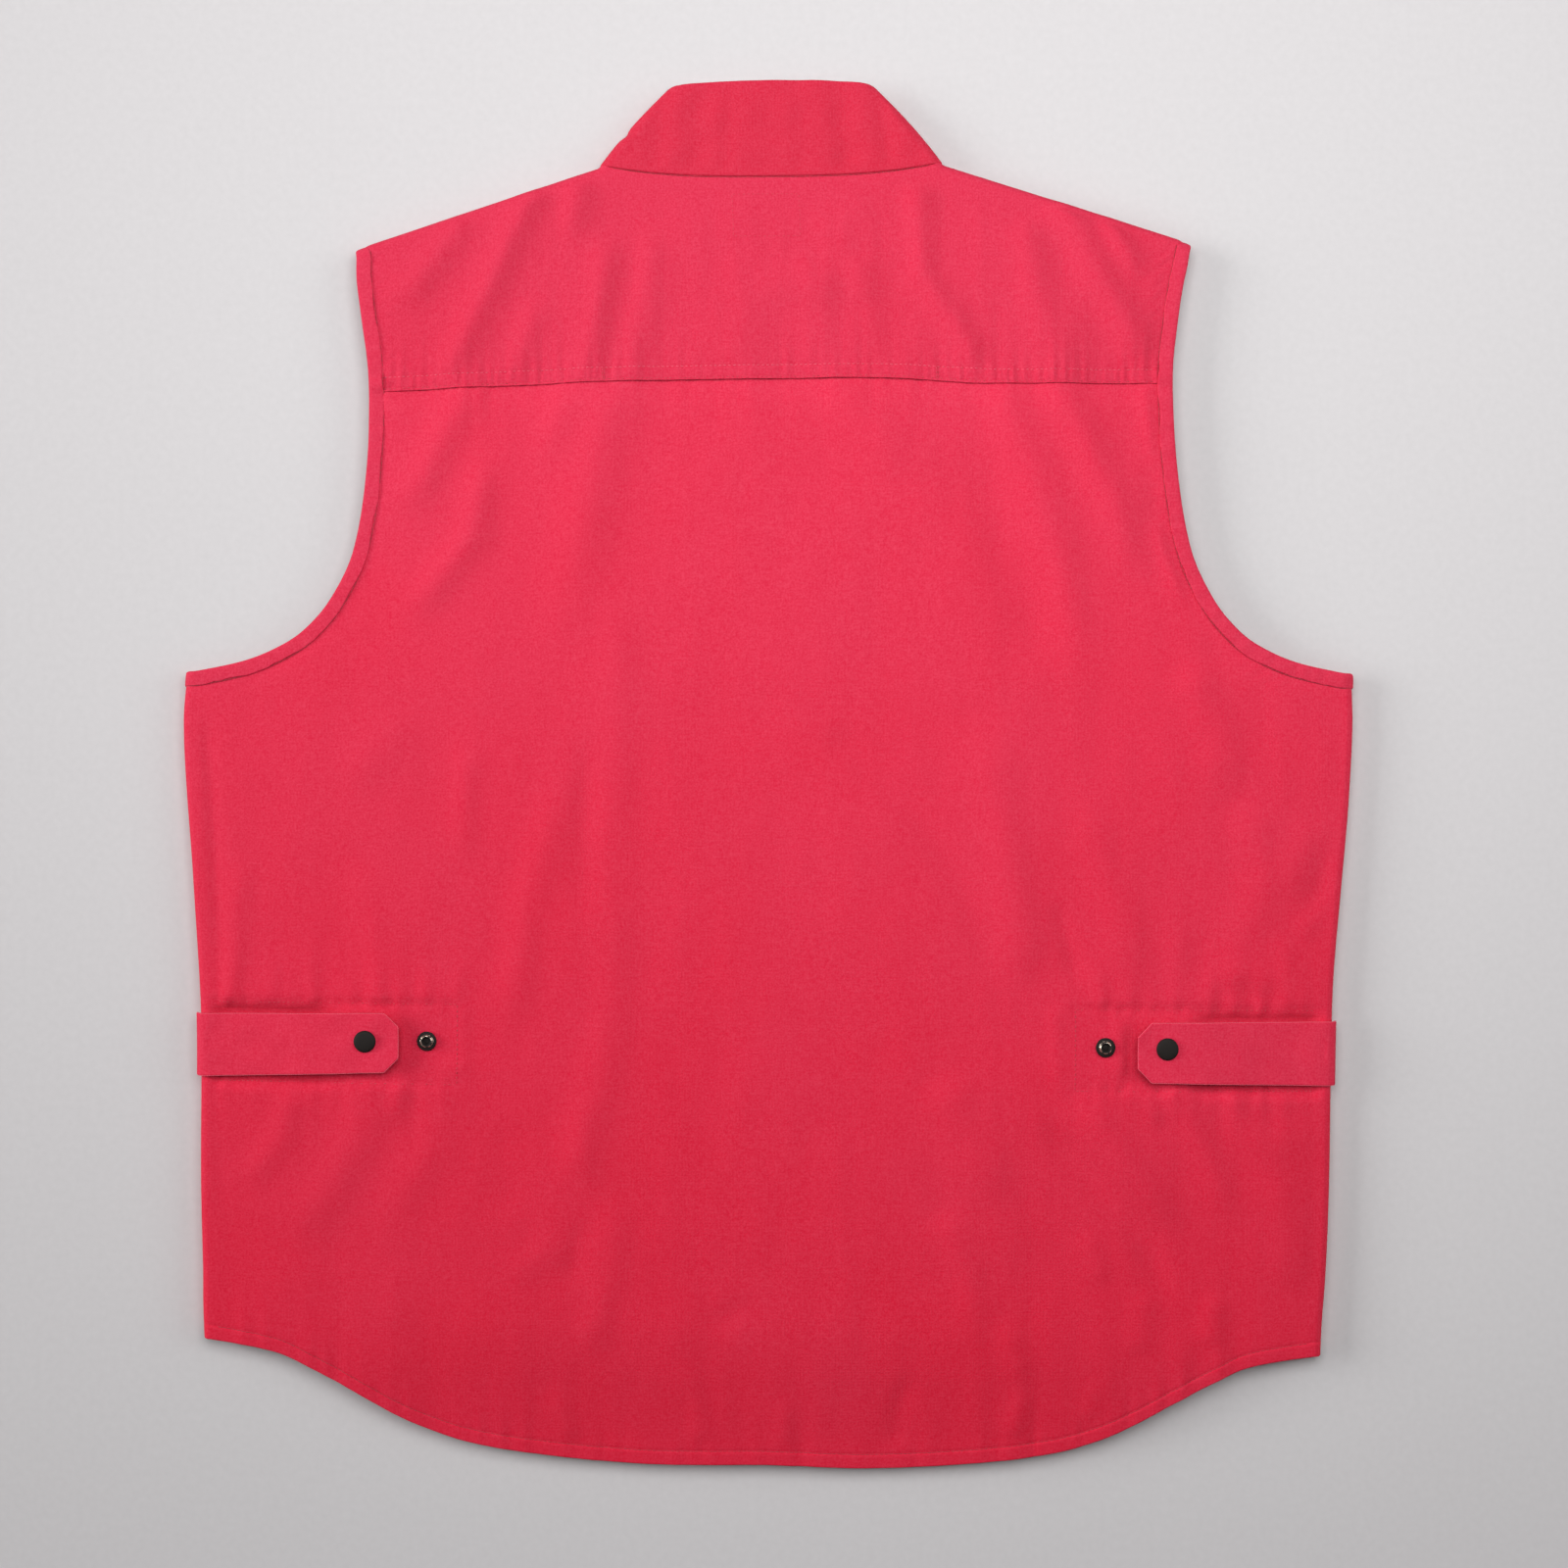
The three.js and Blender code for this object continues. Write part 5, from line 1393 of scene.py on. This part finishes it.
def woven_cotton(name, faded_and_lit_reds, fresh_and_shaded_reds):
    """Piece-dyed cotton canvas in a plain weave: nearly matt, with a fine crossed grain, nubs of uneven
    threads and random faded patches.
    Its colour goes from a paler pink towards the shoulders to a deeper red towards the hem: painted light at
    the top and painted shade at the bottom."""
    material, tree, place = start(name)
    fine, long = 1 / THREAD_SPACING, 1 / SLUB_LENGTH
    grains = []
    for scale in ((fine, long, long), (long, fine, long)):
        stretched = add(tree, "ShaderNodeMapping", {"Vector": place, "Scale": scale}).outputs["Vector"]
        slub = add(tree, "ShaderNodeTexNoise", {"Vector": stretched, "Scale": 1.0, "Detail": 2.0})
        grains.append(slub.outputs["Fac"])
    both = add(tree, "ShaderNodeMath", {0: grains[0], 1: grains[1]}, operation="ADD")
    nubs = add(tree, "ShaderNodeTexNoise", {"Vector": place, "Scale": 1 / NUB, "Detail": 1.0})
    doubled = add(tree, "ShaderNodeMath", {0: nubs.outputs["Fac"], 1: 2.0}, operation="MULTIPLY")
    summed = add(tree, "ShaderNodeMath", {0: both.outputs[0], 1: doubled.outputs[0]}, operation="ADD")
    thin, thick = GRAIN_RANGE
    spread = {0: summed.outputs[0], 1: thin, 2: thick, 3: 0.0, 4: 1.0}
    grain = add(tree, "ShaderNodeMapRange", spread).outputs[0]
    # Painted light and shade: the colour turns paler towards the top and deeper towards the bottom, with
    # random faded patches added on top
    height = add(tree, "ShaderNodeSeparateXYZ", {"Vector": place}).outputs["Y"]
    painted_light_rise = add(tree, "ShaderNodeMapRange", {0: height, 1: PAINTED_LIGHT_LOW, 2: PAINTED_LIGHT_HIGH, 3: 0.0, 4: 1.0}).outputs[0]
    patch = add(tree, "ShaderNodeTexNoise", {"Vector": place, "Scale": 1 / FADE_PATCH, "Detail": 3.0})
    less, more = FADE_RANGE
    spread = {0: patch.outputs["Fac"], 1: less, 2: more, 3: -FADE_UNEVEN, 4: FADE_UNEVEN}
    uneven = add(tree, "ShaderNodeMapRange", spread).outputs[0]
    painted_light_and_fade = add(tree, "ShaderNodeMath", {0: painted_light_rise, 1: uneven}, operation="ADD", use_clamp=True).outputs[0]
    shades = []
    for old, new in zip(faded_and_lit_reds, fresh_and_shaded_reds):
        shade = add(tree, "ShaderNodeMix", {"Factor": painted_light_and_fade, 6: linear(new), 7: linear(old)}, data_type="RGBA")
        shades.append(shade.outputs[2])
    colour = add(tree, "ShaderNodeMix", {"Factor": grain, 6: shades[0], 7: shades[1]}, data_type="RGBA")
    waves = []
    for way in ("X", "Y"):
        scale = WAVE_PERIOD / (2 * THREAD_SPACING)
        wave = add(tree, "ShaderNodeTexWave", {"Vector": place, "Scale": scale}, bands_direction=way)
        waves.append(wave.outputs["Fac"])
    weave = add(tree, "ShaderNodeMath", {0: waves[0], 1: waves[1]}, operation="MULTIPLY")
    rough = add(tree, "ShaderNodeMath", {0: weave.outputs[0], 1: grain}, operation="ADD")
    bump = add(tree, "ShaderNodeBump", {"Height": rough.outputs[0], **WEAVE_BUMP})
    dull, smoother = COTTON_ROUGH
    gloss = add(tree, "ShaderNodeMapRange", {0: grain, 1: 0.0, 2: 1.0, 3: dull, 4: smoother})
    return ended(material, tree, {
        "Base Color": colour.outputs[2],
        "Roughness": gloss.outputs[0],
        "IOR": 1.5,
        "Specular IOR Level": 0.1,
        "Specular Tint": linear("#FFC4F4"),
        "Sheen Weight": 0.02,
        "Sheen Roughness": 0.5,
        "Sheen Tint": linear("#F2A0AC"),
        "Normal": bump.outputs["Normal"],
    })


# The other finishes: size of their specks, how far those spread, roughness and depth
TWIST_STREAK = 0.5 * MM
ENAMEL_DUST = 0.7 * MM
ENAMEL_DUSTED = (0.3, 0.7)
ENAMEL_ROUGH = (0.6, 0.75)
ENAMEL_BUMP = {"Strength": 0.2, "Distance": 0.03 * MM}
RUBBED_PATCH = 2.4 * MM
RUBBED_EDGE = (0.47, 0.54)
RING_ROUGH = (0.5, 0.3)
ROLLER_STIPPLE = 4 * MM
STIPPLE_BUMP = {"Strength": 0.1, "Distance": 0.2 * MM}


def spun_thread(name, dark, light):
    """Spun polyester sewing thread: a touch glossier than the cloth, with its twist as fine streaks."""
    material, tree, place = start(name)
    _, colour = speckled(tree, place, TWIST_STREAK, 1.0, dark, light)
    return ended(material, tree, {"Base Color": colour, "Roughness": 0.6, "IOR": 1.53, "Sheen Weight": 0.15})


def baked_enamel():
    """Brown-black enamel baked on pressed brass: nearly matt, finely dusted, with a dull soft glint."""
    material, tree, place = start("baked_black_enamel")
    dust, colour = speckled(tree, place, ENAMEL_DUST, 3.0, "#110D0B", "#231D1A")
    (clean, dusty), (glossy, dull) = ENAMEL_DUSTED, ENAMEL_ROUGH
    gloss = add(tree, "ShaderNodeMapRange", {0: dust, 1: clean, 2: dusty, 3: glossy, 4: dull})
    bump = add(tree, "ShaderNodeBump", {"Height": dust, **ENAMEL_BUMP})
    return ended(material, tree, {
        "Base Color": colour,
        "Roughness": gloss.outputs[0],
        "IOR": 1.5,
        "Specular IOR Level": 0.2,
        "Normal": bump.outputs["Normal"],
    })


def worn_ring():
    """Enamel rubbed off pressed metal by closing the snap: bright bare patches between dark remains."""
    material, tree, place = start("worn_pressed_metal")
    noise = {"Vector": place, "Scale": 1 / RUBBED_PATCH, "Detail": 3.0, "Roughness": 0.6}
    rub = add(tree, "ShaderNodeTexNoise", noise).outputs["Fac"]
    (kept, gone), (dull, glossy) = RUBBED_EDGE, RING_ROUGH
    bare = add(tree, "ShaderNodeMapRange", {0: rub, 1: kept, 2: gone, 3: 0.0, 4: 1.0}).outputs[0]
    colours = {"Factor": bare, 6: linear("#221B17"), 7: linear("#E9E0CB")}
    colour = add(tree, "ShaderNodeMix", colours, data_type="RGBA").outputs[2]
    gloss = add(tree, "ShaderNodeMapRange", {0: bare, 1: 0.0, 2: 1.0, 3: dull, 4: glossy}).outputs[0]
    return ended(material, tree, {"Base Color": colour, "Metallic": bare, "Roughness": gloss})


def pale_board():
    """Pale grey painted board: matt and plain, with a faint roller stipple."""
    material, tree, place = start("pale_painted_board")
    stipple, colour = speckled(tree, place, ROLLER_STIPPLE, 3.0, "#C6C3C4", "#CECBCC")
    bump = add(tree, "ShaderNodeBump", {"Height": stipple, **STIPPLE_BUMP})
    return ended(material, tree, {"Base Color": colour, "Roughness": 0.9, "Normal": bump.outputs["Normal"]})


# Camera and its levels in millimetres, room light, and half the floor's width in metres
CAMERA_AT = (8.3, -4.4)
CAMERA_RISE = 1150.0
CLOTH_LEVEL = 10.0
VIEW_WIDTH = 888.0
SENSOR = 36.0
ROOM_LIGHT = 0.06
FLOOR_HALF = 6.0

# Lamps in metres and watts: place, the point each is aimed at, width, depth and power
LAMPS = {
    "left_softbox": ((-5.0, 0.7, 1.75), (0, 0.05, 0), 3.0, 2.0, 236),
    "right_softbox": ((4.5, 0.7, 2.2), (0, 0.05, 0), 3.0, 2.0, 64),
    "ceiling_panel": ((0.12, 0.5, 1.22), (0.12, 0.5, 0), 1.4, 1.0, 18.4),
}


def studio():
    """Camera straight above the back, a soft light from each side, a panel above the yoke, a dim room."""
    scene = bpy.context.scene
    camera = bpy.data.cameras.new("camera")
    camera.sensor_width = SENSOR
    camera.lens = SENSOR * CAMERA_RISE / VIEW_WIDTH
    seen = bpy.data.objects.new("camera", camera)
    seen.location = (CAMERA_AT[0] * MM, CAMERA_AT[1] * MM, (CAMERA_RISE + CLOTH_LEVEL) * MM)
    scene.collection.objects.link(seen)
    scene.camera = seen

    for name, (place, aim, wide, deep, watts) in LAMPS.items():
        lamp = bpy.data.lights.new(name, "AREA")
        lamp.shape = "RECTANGLE"
        lamp.size = wide
        lamp.size_y = deep
        lamp.energy = watts
        hung = bpy.data.objects.new(name, lamp)
        hung.location = place
        hung.rotation_euler = (Vector(aim) - hung.location).to_track_quat("-Z", "Y").to_euler()
        scene.collection.objects.link(hung)

    room = bpy.data.worlds.new("room")
    room.use_nodes = True
    room.node_tree.nodes["Background"].inputs["Color"].default_value = linear("#F4F5F8")
    room.node_tree.nodes["Background"].inputs["Strength"].default_value = ROOM_LIGHT
    scene.world = room
    scene.view_settings.view_transform = "Standard"

    mesh = bpy.data.meshes.new("floor")
    corners = [(-1, -1), (1, -1), (1, 1), (-1, 1)]
    mesh.from_pydata([(x * FLOOR_HALF, y * FLOOR_HALF, 0) for x, y in corners], [], [(0, 1, 2, 3)])
    mesh.materials.append(pale_board())
    floor = bpy.data.objects.new("floor", mesh)
    scene.collection.objects.link(floor)


# The vest


# Dyed reds by use: low and high threads at their paler pink, then at their deeper red. The paler pair is
# painted light towards the shoulders and the deeper pair painted shade towards the hem; random faded patches
# also mix between them
COTTON_REDS = {
    "canvas": (("#D02845", "#D83D56"), ("#CF1B35", "#D72F46")),
    # The yoke's reds are a little darker than the canvas: painted shade, toning down the brighter light that
    # falls on the yoke
    "yoke": (("#CA2743", "#D23B54"), ("#CA1A34", "#D22E45")),
    # The collar's reds are darker still: painted shade, standing in for dimmer light over the collar than the
    # lamps give it
    "collar": (("#C3223B", "#CB364C"), ("#C3142B", "#CB263C")),
    "binding": (("#CA2945", "#D33D56"), ("#CB1F39", "#D4334A")),
    # The tabs' reds are a little paler than the canvas: painted light, brightening tabs whose tilted surfaces
    # turn away from the left light
    "tab": (("#D02B48", "#D9405A"), ("#CF203B", "#D8344C")),
}


def sewn(name, lines, thread, draw, cover=STITCH_COVER, pitch=STITCH_PITCH):
    """A piece of stitches along lines, with its own random draw."""
    return piece(name, *stitches(lines, SEED + draw, cover, pitch), thread, COTTON_SLOT)


def build():
    cotton = {use: woven_cotton(f"plain_weave_cotton_{use}", *reds) for use, reds in COTTON_REDS.items()}
    pale_thread = spun_thread("spun_polyester_thread_pale", "#CE3651", "#E45F77")
    thread = spun_thread("spun_polyester_thread", "#B41C36", "#CC2C46")
    # Dark red thread laid nearly continuous along the hem, the collar seam and the binding's inner edge: real
    # stitch rows, coloured dark as painted seam shadow
    seam_shadow_thread = spun_thread("spun_polyester_thread_seam_shadow", "#980F27", "#B21A34")
    enamel = baked_enamel()
    ring = worn_ring()

    body, body_edges = back_body()
    yoke, yoke_edges = back_yoke()
    body_cloth = piece("back_body_cloth", *body.form(), cotton["canvas"], COTTON_SLOT, "back_body")
    yoke_cloth = piece("back_yoke_cloth", *yoke.form(), cotton["yoke"], COTTON_SLOT, "back_yoke")
    body_rows = sewn("back_body_stitches", patch_lines(), thread, draw=50)
    # The hem row here and the collar seam row below are in the dark thread: painted seam shadow
    hem_row = sewn("hem_stitches", hem_line(), seam_shadow_thread, draw=55, cover=NEARLY_WHOLE_COVER)
    yoke_rows = sewn("back_yoke_stitches", [yoke_line(1)], pale_thread, draw=51)
    mark_rows = sewn("yoke_mark_stitches", mark_lines(), thread, draw=54)
    neck_row = sewn("collar_seam_stitches", collar_seam_line(), seam_shadow_thread, draw=56, cover=NEARLY_WHOLE_COVER)
    band = weld(piece("collar_band", *collar(), cotton["collar"], COTTON_SLOT, "collar"))
    strip = front_closure()
    strip_cloth = piece("front_closure_strip", *strip.form(), cotton["canvas"], COTTON_SLOT, "front_closure")
    weld(strip_cloth)

    for word, side in SIDES.items():
        cloth, edge = front_panel(side)
        name = f"front_{word}"
        piece(f"{name}_cloth", *cloth.form(), cotton["canvas"], COTTON_SLOT, name)
        rows = sewn(f"{name}_stitches", front_lines(side), thread, draw=52 + side)

        chains = [
            (cloth, edge[::-1], -1),
            (body, body_edges[word], 1),
            (yoke, yoke_edges[word], 1),
        ]
        at, inward, off = binding_frames(chains, side)
        band_name = f"armhole_binding_{word}"
        bound = binding((at, inward, off), SEED + 60 + 5 * side)
        wrapped = piece(f"{band_name}_band", *bound.form(), cotton["binding"], COTTON_SLOT, band_name)
        # The row along the binding's inner edge is in the dark thread: painted seam shadow
        reach, lift = BINDING_STITCH
        seam = at + inward * reach + off * lift
        row_name = f"{band_name}_stitches"
        seam_row = sewn(row_name, [(seam, off)], seam_shadow_thread, draw=70 + side, cover=NEARLY_WHOLE_COVER)

        tab, rim = side_tab(side)
        tab_name = f"side_tab_{word}"
        tab_cloth = weld(piece(f"{tab_name}_cloth", *tab.form(), cotton["tab"], COTTON_SLOT, tab_name))
        rim_name = f"{tab_name}_edge_threads"
        tab_rim = sewn(rim_name, [(rim, UP)], pale_thread, 80 + side, NEARLY_WHOLE_COVER, TAB_EDGE_PITCH)

        snap(f"tab_snap_{word}_cap", [CAP_PROFILE], [enamel], side * CAP_X, METAL_SLOT, f"tab_snap_{word}")
        stud = [STUD_BASE, STUD_RING, STUD_HOLLOW]
        for kind, x in (("closed", CAP_X), ("spare", STUD_X)):
            node = f"{kind}_stud_{word}"
            snap(f"{node}_turned", stud, [enamel, ring, enamel], side * x, METAL_SLOT, node)

    rows = [body_rows, hem_row]
    rows = [yoke_rows, mark_rows, neck_row]


studio()
build()
